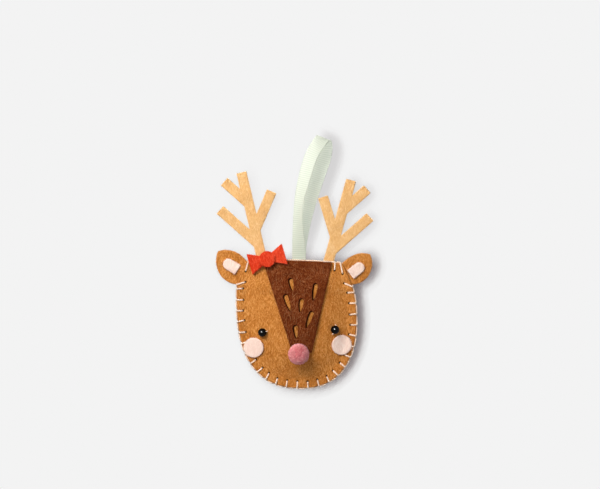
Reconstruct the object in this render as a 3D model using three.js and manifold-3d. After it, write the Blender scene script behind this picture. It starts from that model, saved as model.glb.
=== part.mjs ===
import * as THREE from 'three';
import { mergeVertices } from 'three/addons/utils/BufferGeometryUtils.js';
import Module from 'manifold-3d';

// A stuffed felt reindeer head that hangs from a ribbon loop. Millimetres, +Z up, the face looks along -Y.
// The origin is the inside top of the loop. The head has a frame of its own, in which its pieces are made:
// x from the middle of the face, y from the seam plane between the panels, z up from the top edge.

const wasm = await Module();
wasm.setup();

const { lerp, smoothstep, degToRad } = THREE.MathUtils;

// Stock
const FELT = 1.5;
const THREAD = 0.9;
const EYE_THREAD = 0.6;
const RIBBON_WIDTH = 9.5;
const RIBBON_THICKNESS = 0.45;

// Clearances: between pieces that touch, and round a thread in the felt that it pierces
const SEAT_GAP = 0.3;
const THREAD_CLEARANCE = 0.22;

// Where the loop hangs, from the middle of the head's top edge
const HANG_LEAN = 19.2;
const HANG_HEIGHT = 85.5;

// Outline of the two head panels
const HEAD_WIDTH = 83;
const HEAD_HEIGHT = 89;
const WIDEST_DROP = 35;
const CHIN_POWER = 2.4;
const LEFT_SIDE_RADIUS = 180;
const RIGHT_SIDE_RADIUS = 75;
const TOP_WIDTH = 67;
const TOP_RADIUS = 614;
const TOP_HIGH_X = -15.6;
const TOP_STEPS = 7;
const EAR_CUT_DROP = 16.8;
const HEAD_SKEW = 0.045;
const SKEW_LEVEL = 42;
const SMOOTH_TURN = degToRad(30);

// How the stuffing swells the panels inside the sewn edge
const SEAM_ALLOWANCE = 6;
const FRONT_PUFF = 8.5;
const BACK_PUFF = 7.5;
const PUFF_POWER = 2.2;
const PUFF_EASE = 1.25;
const PUFF_MIDDLE_DROP = 46;
const PUFF_SHARES = [0.16, 0.4, 0.7];
const OPEN_SEAM_DROP = 19;
const CLOSED_SEAM_DROP = 25;
const STUFFING_RIM = 0.5;
const STUFFING_GAP = 0.5;

// Depth of the roots that are sewn between the panels
const ROOT_DEPTH = 5.8;

// Ears, measured from the middle of the slanted cut that each grows from, outwards and up: the tip, and the
// bends of the edges above and below it
const EARS = {
  left: { tip: [16.8, 15.1], topBend: [[2.0, 15.2], [9.5, 17.2]], lowBend: [[21, 5.5], [15.5, -7.5]] },
  right: { tip: [16.3, 13.6], topBend: [[2.4, 13.5], [9.9, 16.0]], lowBend: [[20.4, 5.2], [15.4, -7.3]] },
};
const LINING_LENGTH = 11.4;
const LINING_WIDTH = 7.5;
const LININGS = {
  left: { foot: [2.8, 2.05], lift: 31 },
  right: { foot: [2.45, -0.45], lift: 38 },
};

// Antlers: a beam and three tines, with their places along the beam from the head's edge. Each antler is cut
// by hand, with its own spread of the tines from the beam in degrees.
const ANTLER_STRIP = 7.1;
const ANTLER_BEAM = 59.6;
const LOW_TINE = { at: 8.1, length: 36 };
const INNER_TINE = { at: 18.1, length: 29.5 };
const HIGH_TINE = { at: 37.2, length: 23.1 };
const ANTLERS = {
  left: { inset: 11.2, lean: 13.4, raise: 4, outerSpread: 35, innerSpread: 36.5 },
  right: { inset: 10, lean: 15.6, raise: 0.8, outerSpread: 33, innerSpread: 32.5 },
};

// Forehead patch and its slots, each from its round top to its point
const PATCH_TOP = [-23.8, 24.4];
const PATCH_FOOT = [-3.2, 10.2];
const PATCH_HEIGHT = 63.8;
const SLOT_WIDTH = 3.1;
const SLOTS = [
  { top: [-4.8, -12.3], point: [-3.1, -21.1] },
  { top: [13.1, -15.8], point: [10.9, -27.7] },
  { top: [-8.5, -23.4], point: [-4.6, -35.4] },
  { top: [3.1, -26.3], point: [2.0, -35.9] },
  { top: [10.4, -35.0], point: [6.0, -46.8] },
  { top: [-1.4, -44.6], point: [-0.5, -54.2] },
];

// Cheeks, nose and eyes
const CHEEK_DIAMETER = 13.8;
const CHEEKS = { left: [-30.3, -60.8], right: [31.2, -58.9] };
const NOSE_DIAMETER = 15;
const NOSE_SINK = 2;
const NOSE_RISE = 0.2;
const NOSE = [1.2, NOSE_RISE - PATCH_HEIGHT];
const EYE_DIAMETER = 6;
const EYE_BORE = 1.3;
const EYES = {
  left: { at: [-23.4, -49.8], boreTurn: 15 },
  right: { at: [25.7, -48], boreTurn: 70 },
};

// Bow
const BOW_AT = [-20.8, 1.0];
const BOW_TILT = 16.4;
const BOW_LENGTH = 25.6;
const BOW_END = 15;
const BOW_WAIST = 6;
const KNOT_DIAMETER = 11.2;

// Blanket stitch: legs over the edge, evenly spaced from ear to ear round the chin. A hole is placed from
// where its leg crosses the edge: along it, and in from it.
const STITCH_COUNT = 25;
const FIRST_STEP = 4.2;
const LAST_STEP = 3.2;
const STITCH_HOLE = { along: 0, inset: 4.4 };
const TOP_HOLE = { along: 0, inset: 5.3 };
const TOP_PITCH = 3.7;
const CORNER_HOLE = { along: 2.2, inset: 7.4 };
const CORNER_INSET = 1.4;
const EAR_FOOT_HOLE = { along: -3.6, inset: 4.8 };
const EAR_FOOT_STEP = 1.3;
const BACK_STEP = 1.5;
const RUN_TURN = 1.1;
const THREAD_SIDES = 5;

// Ribbon: where it leaves the seam, how far above the edge it bends, and the loop's route.
// A point is x, y and z, the turn of the ribbon's width about Y, and the twist that brings its right side
// forward, both in degrees.
const RIBBON_X = 1.4;
const FLEX_HEIGHT = 2.8;
const STRAND_OFFSET = 0.4;
const STEPS_PER_POINT = 3;
const RIBBON_ROUTE = [
  [1.2, -1.9, 11, 0, 16],
  [0.8, -3.9, 20, -1, 36],
  [0.6, -5.6, 31, -3, 48],
  [1.6, -6.9, 42.5, -8, 46],
  [4.3, -7.4, 54, -14, 32],
  [7.0, -7.0, 64, -18, 22],
  [10.8, -6.0, 74.5, -21, 16],
  [14.6, -4.6, 80.9, -23, 8],
  [17.5, -2.8, 84.7, -23.6, 0],
  [18.6, 0, 85.95, -23.6, 0],
  [19.3, 2.8, 84.6, -22, 0],
  [20.2, 4.6, 80.5, -19, 0],
  [19.4, 5.3, 73, -17, 0],
  [16.0, 5.4, 62.6, -16, 0],
  [12.4, 5.2, 52, -17, 0],
  [8.5, 4.6, 40.2, -17, 0],
  [5.4, 3.6, 28.4, -12, 0],
  [3.2, 2.5, 18, -7, 0],
  [1.8, 1.4, 10, -3, 0],
];

const FINISHES = {
  camel: { color: 0xc8813f, roughness: 0.95 },
  brown: { color: 0x6e3719, roughness: 0.95 },
  gold: { color: 0xf0bd78, roughness: 0.95 },
  pink: { color: 0xf7d9cb, roughness: 0.95 },
  red: { color: 0xe4472b, roughness: 0.95 },
  rose: { color: 0xdd8f8a, roughness: 1 },
  cream: { color: 0xf3e3cf, roughness: 0.8 },
  mint: { color: 0xe0e8d8, roughness: 0.7 },
  black: { color: 0x0b0a0a, roughness: 0.1 },
  fibre: { color: 0xf4f2ec, roughness: 1 },
};

// Solids

/** Turns a closed geometry's faces outwards, by the sign of its volume. */
function facingOut(geometry) {
  const position = geometry.attributes.position;
  const index = geometry.index.array;
  const [a, b, c] = [new THREE.Vector3(), new THREE.Vector3(), new THREE.Vector3()];
  let volume = 0;
  for (let i = 0; i < index.length; i += 3) {
    a.fromBufferAttribute(position, index[i]);
    b.fromBufferAttribute(position, index[i + 1]);
    c.fromBufferAttribute(position, index[i + 2]);
    volume += a.dot(b.cross(c));
  }
  if (volume < 0) index.reverse();
  return geometry;
}

/** A closed body through rings of equal count, with a fan to a point at each end. */
function loft(rings, start, end) {
  const count = rings[0].length;
  const points = [start, ...rings.flat(), end];
  const last = points.length - 1;
  const at = (ring, step) => 1 + ring * count + (step % count);
  const index = [];
  for (let step = 0; step < count; step++) {
    index.push(0, at(0, step + 1), at(0, step));
    for (let ring = 0; ring + 1 < rings.length; ring++) {
      const [p, q] = [at(ring, step), at(ring, step + 1)];
      const [r, s] = [at(ring + 1, step), at(ring + 1, step + 1)];
      index.push(p, q, s, p, s, r);
    }
    index.push(last, at(rings.length - 1, step), at(rings.length - 1, step + 1));
  }
  const geometry = new THREE.BufferGeometry().setFromPoints(points);
  geometry.setIndex(new THREE.BufferAttribute(new Uint32Array(index), 1));
  return facingOut(geometry);
}

/** A round thread through the points, with its sections square to the bends. */
function tube(points, radius) {
  const reach = points.slice(1).map((point, i) => point.clone().sub(points[i]).normalize());
  const tangents = points.map((_, i) => {
    const before = reach[Math.max(i - 1, 0)];
    const after = reach[Math.min(i, reach.length - 1)];
    return before.clone().add(after).normalize();
  });
  const normal = new THREE.Vector3(tangents[0].z, tangents[0].x, tangents[0].y);
  const rings = points.map((point, i) => {
    normal.addScaledVector(tangents[i], -normal.dot(tangents[i])).normalize();
    const side = tangents[i].clone().cross(normal);
    return Array.from({ length: THREAD_SIDES }, (_, k) => {
      const angle = (2 * Math.PI * k) / THREAD_SIDES;
      return point.clone()
        .addScaledVector(normal, radius * Math.cos(angle))
        .addScaledVector(side, radius * Math.sin(angle));
    });
  });
  return loft(rings, points[0], points[points.length - 1]);
}

/** A flat felt piece of a shape drawn in x and z, from its back at a depth y towards the viewer. */
function plate(shape, back, thickness = FELT) {
  const options = { depth: thickness, bevelEnabled: false, curveSegments: 10 };
  const geometry = new THREE.ExtrudeGeometry(shape, options);
  return geometry.rotateX(Math.PI / 2).translate(0, back, 0);
}

function solidOf(geometry) {
  const bare = geometry.clone();
  bare.deleteAttribute('normal');
  bare.deleteAttribute('uv');
  const merged = mergeVertices(bare, 1e-4);
  const vertProperties = new Float32Array(merged.attributes.position.array);
  const triVerts = new Uint32Array(merged.index.array);
  return new wasm.Manifold(new wasm.Mesh({ numProp: 3, vertProperties, triVerts }));
}

function geometryOf(solid) {
  const { vertProperties, triVerts } = solid.getMesh();
  const geometry = new THREE.BufferGeometry();
  geometry.setAttribute('position', new THREE.BufferAttribute(vertProperties, 3));
  geometry.setIndex(new THREE.BufferAttribute(triVerts, 1));
  return geometry;
}

function join(...pieces) {
  return geometryOf(pieces.map(solidOf).reduce((sum, piece) => sum.add(piece)));
}

function cut(body, ...tools) {
  return geometryOf(tools.map(solidOf).reduce((rest, tool) => rest.subtract(tool), solidOf(body)));
}

function common(body, mould) {
  return geometryOf(solidOf(body).intersect(solidOf(mould)));
}

// Head outline and swell

/** The panels' cut edge as points in x and z, clockwise from the top left corner as the viewer sees it. */
function headOutline() {
  const points = [];
  const put = (side, drop) => points.push(new THREE.Vector2(side + HEAD_SKEW * (drop - SKEW_LEVEL), -drop));
  const topDrop = (side) => (side - TOP_HIGH_X) ** 2 / (2 * TOP_RADIUS);
  const halfWidth = (drop, radius) => HEAD_WIDTH / 2 - (WIDEST_DROP - drop) ** 2 / (2 * radius);
  const sideSteps = 2;
  const chinSteps = 22;
  for (let i = 0; i <= TOP_STEPS; i++) {
    const side = TOP_WIDTH * (i / TOP_STEPS - 0.5);
    put(side, topDrop(side));
  }
  for (let i = 0; i < sideSteps; i++) {
    const drop = lerp(EAR_CUT_DROP, WIDEST_DROP, i / sideSteps);
    put(halfWidth(drop, RIGHT_SIDE_RADIUS), drop);
  }
  for (let i = 0; i <= chinSteps; i++) {
    const turn = (Math.PI * i) / chinSteps;
    const across = Math.sign(Math.cos(turn)) * Math.abs(Math.cos(turn)) ** (2 / CHIN_POWER);
    const down = Math.max(Math.sin(turn), 0) ** (2 / CHIN_POWER);
    put((HEAD_WIDTH / 2) * across, lerp(WIDEST_DROP, HEAD_HEIGHT, down));
  }
  for (let i = sideSteps - 1; i >= 0; i--) {
    const drop = lerp(EAR_CUT_DROP, WIDEST_DROP, i / sideSteps);
    put(-halfWidth(drop, LEFT_SIDE_RADIUS), drop);
  }
  return points;
}

const edge = headOutline();
const edgeLengths = edge.map((point, i) => point.distanceTo(edge[(i + 1) % edge.length]));
const edgeLength = edgeLengths.reduce((sum, length) => sum + length);

/** Inward directions at the outline's corners, long enough that an inset keeps its width on both sides. */
const edgeNormals = edge.map((point, i) => {
  const before = point.clone().sub(edge[(i + edge.length - 1) % edge.length]).normalize();
  const after = edge[(i + 1) % edge.length].clone().sub(point).normalize();
  const sum = new THREE.Vector2(before.y + after.y, -before.x - after.x);
  return sum.multiplyScalar(2 / sum.lengthSq());
});

/** Inward direction of each side of the outline, shared with a neighbour where the edge is smooth. */
const sideNormals = edge.map((point, i) => {
  const along = edge[(i + 1) % edge.length].clone().sub(point).normalize();
  return new THREE.Vector2(along.y, -along.x);
});
function sharedNormal(side, neighbour) {
  const [own, other] = [sideNormals[side], sideNormals[neighbour]];
  return own.dot(other) > Math.cos(SMOOTH_TURN) ? own.clone().add(other).normalize() : own.clone();
}

/** The point at a distance along the edge, moved inwards by an inset, at a depth y. */
function besideEdge(distance, inset, y) {
  let rest = THREE.MathUtils.euclideanModulo(distance, edgeLength);
  let i = 0;
  while (rest > edgeLengths[i]) {
    rest -= edgeLengths[i];
    i++;
  }
  const next = (i + 1) % edge.length;
  const share = rest / edgeLengths[i];
  const start = sharedNormal(i, (i + edge.length - 1) % edge.length);
  const inward = start.lerp(sharedNormal(i, next), share).normalize();
  const point = edge[i].clone().lerp(edge[next], share).addScaledVector(inward, inset);
  return new THREE.Vector3(point.x, y, point.y);
}

const insetRing = (inset) => edge.map((point, i) => point.clone().addScaledVector(edgeNormals[i], inset));
const seamRing = insetRing(SEAM_ALLOWANCE);
const middle = new THREE.Vector2(0, -PUFF_MIDDLE_DROP);

/** Swell from 0 at the seam to 1 at the middle, by the distance from the middle as a share of the way out. */
const puff = (out) => (1 - Math.min(out, 1) ** PUFF_POWER) ** PUFF_EASE;

/** Half the space between the panels: open along the top for the sewn-in roots, closed below the ears. */
function seamOpening(drop) {
  const open = FELT / 2 + SEAT_GAP;
  const closed = SEAT_GAP / 2;
  return lerp(open, closed, smoothstep(drop, OPEN_SEAM_DROP, CLOSED_SEAM_DROP));
}

/** How far out from the middle a point lies, as a share of the way to the seam. */
function shareOut(point) {
  const away = point.clone().sub(middle);
  if (away.lengthSq() === 0) return 0;
  let share = Infinity;
  seamRing.forEach((a, i) => {
    const along = seamRing[(i + 1) % seamRing.length].clone().sub(a);
    const start = a.clone().sub(middle);
    const scale = start.cross(along) / away.cross(along);
    const place = start.cross(away) / away.cross(along);
    if (scale > 0 && place >= 0 && place <= 1) share = Math.min(share, scale);
  });
  return 1 / share;
}

/** A point on the front of the face, lifted off the front panel's inner side. */
function onFace(x, z, lift) {
  const point = new THREE.Vector2(x, z);
  const depth = seamOpening(-z) + FRONT_PUFF * puff(shareOut(point)) + lift;
  return new THREE.Vector3(x, -depth, z);
}

function faceNormal(x, z) {
  const step = 0.5;
  const across = onFace(x + step, z, 0).sub(onFace(x - step, z, 0));
  const up = onFace(x, z + step, 0).sub(onFace(x, z - step, 0));
  return across.cross(up).normalize();
}

const FRONT = -1;
const BACK = 1;

/** A layer over the whole swollen panel, between two heights above the panel's inner side. */
function layer(side, height, from, to) {
  const rings = [{ ring: edge, rise: 0 }, { ring: seamRing, rise: 0 }];
  PUFF_SHARES.forEach((share) => {
    rings.push({ ring: seamRing.map((point) => point.clone().lerp(middle, share)), rise: puff(1 - share) });
  });
  const lifted = (point, rise, lift) => {
    const depth = seamOpening(-point.y) + height * rise + lift;
    return new THREE.Vector3(point.x, side * depth, point.y);
  };
  const sheet = (lift) => rings.map(({ ring, rise }) => ring.map((point) => lifted(point, rise, lift)));
  return loft([...sheet(to).reverse(), ...sheet(from)], lifted(middle, 1, to), lifted(middle, 1, from));
}

/** The filling, clear of both panels and of the roots in the seam. */
function stuffingForm() {
  const first = PUFF_SHARES[0];
  const rings = [{ share: STUFFING_RIM * first, rise: STUFFING_RIM * puff(1 - first) }];
  PUFF_SHARES.forEach((share) => rings.push({ share, rise: puff(1 - share) }));
  const lifted = (point, side, height) => {
    return new THREE.Vector3(point.x, side * (seamOpening(-point.y) + height - STUFFING_GAP), point.y);
  };
  const sheet = (side, height) => rings.map(({ share, rise }) => {
    return seamRing.map((point) => lifted(point.clone().lerp(middle, share), side, height * rise));
  });
  const front = lifted(middle, FRONT, FRONT_PUFF);
  const back = lifted(middle, BACK, BACK_PUFF);
  return loft([...sheet(FRONT, FRONT_PUFF).reverse(), ...sheet(BACK, BACK_PUFF)], front, back);
}

// Blanket stitch

const topLength = edgeLengths.slice(0, TOP_STEPS).reduce((sum, length) => sum + length);
const cutLength = edgeLengths[TOP_STEPS];

/** Depths at which the thread runs along the edge: over the front panel, on the seam or over the back one. */
const runs = {
  front: (drop) => -(seamOpening(drop) + FELT / 2),
  seam: () => 0,
  back: (drop) => seamOpening(drop) + FELT / 2,
};

/** Every stitch in sewing order: its place along the edge, its hole, and the runs before and after it. */
function stitches() {
  const earFoot = topLength + cutLength + EAR_FOOT_STEP;
  const lastFoot = edgeLength - cutLength - EAR_FOOT_STEP;
  const corner = topLength - CORNER_INSET;
  const list = [];
  const sew = (at, { along, inset }, before, after) => {
    const inward = besideEdge(at, 1, 0).sub(besideEdge(at, 0, 0));
    const hole = besideEdge(at, inset, 0);
    hole.x -= inward.z * along;
    hole.z += inward.x * along;
    list.push({ at, hole, before, after });
  };
  const mirrored = ({ along, inset }) => ({ along: -along, inset });
  sew(CORNER_INSET, mirrored(CORNER_HOLE), runs.back, runs.front);
  sew(corner - TOP_PITCH, TOP_HOLE, runs.front, runs.front);
  sew(corner, CORNER_HOLE, runs.front, runs.back);
  sew(earFoot, EAR_FOOT_HOLE, runs.back, runs.seam);
  for (let i = 0; i < STITCH_COUNT; i++) {
    const at = lerp(earFoot + FIRST_STEP, lastFoot - LAST_STEP, i / (STITCH_COUNT - 1));
    sew(at, STITCH_HOLE, runs.seam, runs.seam);
  }
  sew(lastFoot, mirrored(EAR_FOOT_HOLE), runs.seam, runs.back);
  return list;
}

/** The thread's points through one stitch: down the front, through the hole and back up behind. */
function stitchRoute({ at, hole, before, after }) {
  const off = THREAD / 2 + SEAT_GAP;
  const turnRoom = 0.1;
  const holeTurn = 0.8;
  const dropAt = (distance) => -besideEdge(distance, 0, 0).z;
  const face = (drop) => seamOpening(drop) + FELT;
  const end = at + BACK_STEP;
  const edgeFace = face(dropAt(at));
  const endFace = face(dropAt(end));
  const holeFace = face(-hole.z) + off;
  const inside = holeFace - holeTurn;
  const nearHole = (distance, y) => {
    const out = besideEdge(distance, 0, 0).sub(hole).setLength(holeTurn);
    return hole.clone().add(out).setY(y);
  };
  return [
    besideEdge(at - RUN_TURN, -off, before(dropAt(at - RUN_TURN))),
    besideEdge(at, -off - turnRoom, -edgeFace - turnRoom),
    besideEdge(at, 0, -edgeFace - off - turnRoom),
    nearHole(at, -holeFace),
    hole.clone().setY(-inside),
    hole.clone().setY(inside),
    nearHole(end, holeFace),
    besideEdge(end, 0, endFace + off + turnRoom),
    besideEdge(end, -off - turnRoom, endFace + turnRoom),
    besideEdge(end + RUN_TURN, -off, after(dropAt(end + RUN_TURN))),
  ];
}

/** The whole thread: it starts behind the top left corner and ends behind the left ear. */
function threadRoute() {
  const off = THREAD / 2 + SEAT_GAP;
  const topRunStep = 9;
  const list = stitches();
  const routes = list.map(stitchRoute);
  const first = routes[0].slice(1);
  const topRun = [];
  const runEnd = list[1].at - topRunStep / 2;
  for (let at = list[0].at + topRunStep; at < runEnd; at += topRunStep) {
    topRun.push(besideEdge(at, -off, runs.front(0)));
  }
  const corner = besideEdge(topLength, -off, runs.back(0));
  const tail = besideEdge(edgeLength - RUN_TURN, -off, runs.back(0));
  return [...first, ...topRun, ...routes[1], ...routes[2], corner, ...routes.slice(3).flat(), tail];
}

// Pieces in the head's frame

function earShape(side, { tip, topBend, lowBend }, cutEnds) {
  const anchor = cutEnds.top.clone().add(cutEnds.foot).multiplyScalar(0.5);
  const put = ([out, up]) => [anchor.x + side * out, anchor.y + up];
  const along = cutEnds.foot.clone().sub(cutEnds.top).normalize();
  const inward = new THREE.Vector2(side * along.y, -side * along.x);
  const rootTop = cutEnds.top.clone().addScaledVector(inward, ROOT_DEPTH);
  const rootFoot = cutEnds.foot.clone().addScaledVector(inward, ROOT_DEPTH);
  const shape = new THREE.Shape();
  shape.moveTo(rootTop.x, rootTop.y);
  shape.lineTo(cutEnds.top.x, cutEnds.top.y);
  shape.bezierCurveTo(...put(topBend[0]), ...put(topBend[1]), ...put(tip));
  shape.bezierCurveTo(...put(lowBend[0]), ...put(lowBend[1]), cutEnds.foot.x, cutEnds.foot.y);
  shape.lineTo(rootFoot.x, rootFoot.y);
  return { shape, anchor };
}

/** An arch: a flat foot across the axis, straight sides and a round head. */
function liningShape() {
  const half = LINING_WIDTH / 2;
  const shape = new THREE.Shape();
  shape.moveTo(0, -half);
  shape.lineTo(LINING_LENGTH - half, -half);
  shape.absarc(LINING_LENGTH - half, 0, half, -Math.PI / 2, Math.PI / 2);
  shape.lineTo(0, half);
  return shape;
}

/** A felt strip of the antlers in x and z, its foot at the origin before it is leant and moved. */
function strip(length, foot, lean, at) {
  const geometry = new THREE.BoxGeometry(ANTLER_STRIP, FELT, length + foot);
  geometry.translate(0, 0, (length - foot) / 2);
  return geometry.rotateY(degToRad(lean)).translate(at[0], 0, at[1]);
}

function antlerForm(side, { raise, outerSpread, innerSpread }) {
  const beam = strip(ANTLER_BEAM + raise, ROOT_DEPTH, 0, [0, 0]);
  const tine = ({ at, length }, lean) => strip(length, 0, lean, [0, at + raise]);
  const low = tine(LOW_TINE, side * outerSpread);
  const inner = tine(INNER_TINE, -side * innerSpread);
  const high = tine(HIGH_TINE, side * outerSpread);
  return join(beam, low, inner, high);
}

function patchForm() {
  const above = 10;
  const [topLeft, topRight] = PATCH_TOP;
  const [footLeft, footRight] = PATCH_FOOT;
  const shape = new THREE.Shape();
  const leftSlope = (footLeft - topLeft) / PATCH_HEIGHT;
  const rightSlope = (footRight - topRight) / PATCH_HEIGHT;
  shape.moveTo(topLeft - leftSlope * above, above);
  shape.lineTo(footLeft, -PATCH_HEIGHT);
  shape.lineTo(footRight, -PATCH_HEIGHT);
  shape.lineTo(topRight - rightSlope * above, above);
  SLOTS.forEach((slot) => shape.holes.push(slotPath(slot)));
  const depth = FRONT_PUFF + 4 * FELT + 2 * ROOT_DEPTH;
  return common(layer(FRONT, FRONT_PUFF, FELT + SEAT_GAP, 2 * FELT + SEAT_GAP), plate(shape, 0, depth));
}

/** A slot with a round head that tapers to a point, drawn about the line from its top to its point. */
function slotPath({ top, point }) {
  const start = new THREE.Vector2(...top);
  const along = new THREE.Vector2(...point).sub(start);
  const length = along.length();
  const headSteps = 6;
  const half = SLOT_WIDTH / 2;
  const unit = along.clone().normalize();
  const side = new THREE.Vector2(-unit.y, unit.x);
  const place = (down, across) => start.clone().addScaledVector(unit, down).addScaledVector(side, across);
  const head = Array.from({ length: headSteps + 1 }, (_, i) => {
    const turn = (Math.PI * i) / headSteps;
    return place(half - half * Math.sin(turn), half * Math.cos(turn));
  });
  const [waist, waistHalf] = [length * 0.6, half * 0.75];
  return new THREE.Path([...head, place(waist, -waistHalf), place(length, 0), place(waist, waistHalf)]);
}

function cheekForm([x, z]) {
  const depth = 2 * (FRONT_PUFF + 4 * FELT);
  const round = new THREE.CylinderGeometry(CHEEK_DIAMETER / 2, CHEEK_DIAMETER / 2, depth, 24);
  return common(layer(FRONT, FRONT_PUFF, FELT + SEAT_GAP, 2 * FELT + SEAT_GAP), round.translate(x, 0, z));
}

function noseForm() {
  const radius = NOSE_DIAMETER / 2;
  const seat = 2 * FELT + 2 * SEAT_GAP;
  const centre = onFace(...NOSE, seat).addScaledVector(faceNormal(...NOSE), radius - NOSE_SINK);
  const ball = new THREE.SphereGeometry(radius, 20, 14).translate(centre.x, centre.y, centre.z);
  return cut(ball, layer(FRONT, FRONT_PUFF, 0, seat));
}

/** A ball with a bore along its own Y axis. */
function beadForm() {
  const radius = EYE_DIAMETER / 2;
  const mouth = Math.acos(EYE_BORE / EYE_DIAMETER);
  const steps = 9;
  const profile = Array.from({ length: steps + 1 }, (_, i) => {
    const turn = lerp(-mouth, mouth, i / steps);
    return new THREE.Vector2(radius * Math.cos(turn), radius * Math.sin(turn));
  });
  return new THREE.LatheGeometry([...profile, profile[0].clone()], 16);
}

/** Where a bead sits on the face, and the thread through it and down into the felt at both sides. */
function eyePlace({ at, boreTurn }) {
  const lift = EYE_DIAMETER / 2 + SEAT_GAP;
  const normal = faceNormal(...at);
  const centre = onFace(...at, FELT).addScaledVector(normal, lift);
  const turn = degToRad(boreTurn);
  const bore = new THREE.Vector3(Math.cos(turn), 0, Math.sin(turn));
  bore.addScaledVector(normal, -bore.dot(normal)).normalize();
  const foot = EYE_DIAMETER / 2 + EYE_THREAD + SEAT_GAP;
  const threadTo = (depth) => {
    const bend = [[foot - EYE_THREAD, 0.05], [foot - 0.1, EYE_THREAD]];
    const half = [[1.6, 0], ...bend, [foot, lift - SEAT_GAP], [foot, lift + depth]];
    const place = (side) => ([out, down]) => {
      return centre.clone().addScaledVector(bore, side * out).addScaledVector(normal, -down);
    };
    return [...half.map(place(-1)).reverse(), ...half.map(place(1))];
  };
  return { centre, bore, threadTo };
}

function bowShape() {
  const [half, end, waist] = [BOW_LENGTH / 2, BOW_END / 2, BOW_WAIST / 2];
  const flat = waist;
  const shape = new THREE.Shape();
  shape.moveTo(-half, end);
  shape.lineTo(-flat, waist);
  shape.lineTo(flat, waist);
  shape.lineTo(half, end);
  shape.lineTo(half, -end);
  shape.lineTo(flat, -waist);
  shape.lineTo(-flat, -waist);
  shape.lineTo(-half, -end);
  return shape;
}

/** The sewn ends of the ribbon: both layers, up to the round top on which the loop bends. */
function stubForm() {
  const half = STRAND_OFFSET + RIBBON_THICKNESS / 2;
  const shape = new THREE.Shape();
  shape.moveTo(-half, -ROOT_DEPTH);
  shape.lineTo(half, -ROOT_DEPTH);
  shape.lineTo(half, FLEX_HEIGHT);
  shape.absarc(0, FLEX_HEIGHT, half, 0, Math.PI);
  const options = { depth: RIBBON_WIDTH, bevelEnabled: false, curveSegments: 5 };
  const geometry = new THREE.ExtrudeGeometry(shape, options).translate(0, 0, -RIBBON_WIDTH / 2);
  return geometry.rotateX(Math.PI / 2).rotateZ(Math.PI / 2).translate(RIBBON_X, 0, 0);
}

/** The loop: a flat strip carried along its route, from the front strand's foot to the back strand's. */
function loopForm() {
  const foot = FLEX_HEIGHT + STRAND_OFFSET + RIBBON_THICKNESS / 2 + SEAT_GAP;
  const route = [
    [RIBBON_X, -STRAND_OFFSET, foot, 0, 0],
    [RIBBON_X, -STRAND_OFFSET * 1.4, foot + 2, 0, 0],
    ...RIBBON_ROUTE,
    [RIBBON_X, STRAND_OFFSET * 1.4, foot + 2, 0, 0],
    [RIBBON_X, STRAND_OFFSET, foot, 0, 0],
  ];
  const line = new THREE.CatmullRomCurve3(route.map(([x, y, z]) => new THREE.Vector3(x, y, z)));
  const anglesAt = ([, , , turn, twist]) => new THREE.Vector3(degToRad(turn), degToRad(twist), 0);
  const angles = new THREE.CatmullRomCurve3(route.map(anglesAt));
  const steps = STEPS_PER_POINT * (route.length - 1);
  const rings = Array.from({ length: steps + 1 }, (_, i) => {
    const centre = line.getPoint(i / steps);
    const tangent = line.getTangent(i / steps);
    const { x: turn, y: twist } = angles.getPoint(i / steps);
    const across = new THREE.Vector3(Math.cos(turn), 0, Math.sin(turn));
    across.addScaledVector(tangent, -across.dot(tangent)).applyAxisAngle(tangent, -twist);
    across.setLength(RIBBON_WIDTH / 2);
    const through = tangent.clone().cross(across).setLength(RIBBON_THICKNESS / 2);
    return [[1, 1], [-1, 1], [-1, -1], [1, -1]].map(([a, b]) => {
      return centre.clone().addScaledVector(across, a).addScaledVector(through, b);
    });
  });
  const middleOf = (ring) => ring[0].clone().add(ring[2]).multiplyScalar(0.5);
  return loft(rings, middleOf(rings[0]), middleOf(rings[steps]));
}

// Assembly

const ornament = new THREE.Group();
const head = new THREE.Group();
head.position.set(-HANG_LEAN, 0, -HANG_HEIGHT);
ornament.add(head);

function add(name, geometry, finish) {
  const material = new THREE.MeshStandardMaterial({ ...FINISHES[finish], metalness: 0 });
  const mesh = new THREE.Mesh(geometry, material);
  mesh.name = name;
  head.add(mesh);
  return mesh;
}

const route = threadRoute();
const channel = tube(route, THREAD / 2 + THREAD_CLEARANCE);
const eyes = { left: eyePlace(EYES.left), right: eyePlace(EYES.right) };
const eyeChannels = Object.values(eyes).map(({ threadTo }) => {
  return tube(threadTo(2 * FELT), EYE_THREAD / 2 + THREAD_CLEARANCE);
});

add('front_panel', cut(layer(FRONT, FRONT_PUFF, 0, FELT), channel, ...eyeChannels), 'camel');
add('back_panel', cut(layer(BACK, BACK_PUFF, 0, FELT), channel), 'camel');
add('stuffing', stuffingForm(), 'fibre');
add('blanket_stitch', tube(route, THREAD / 2), 'cream');
add('forehead_patch', patchForm(), 'brown');
add('nose_pompom', noseForm(), 'rose');

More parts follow.
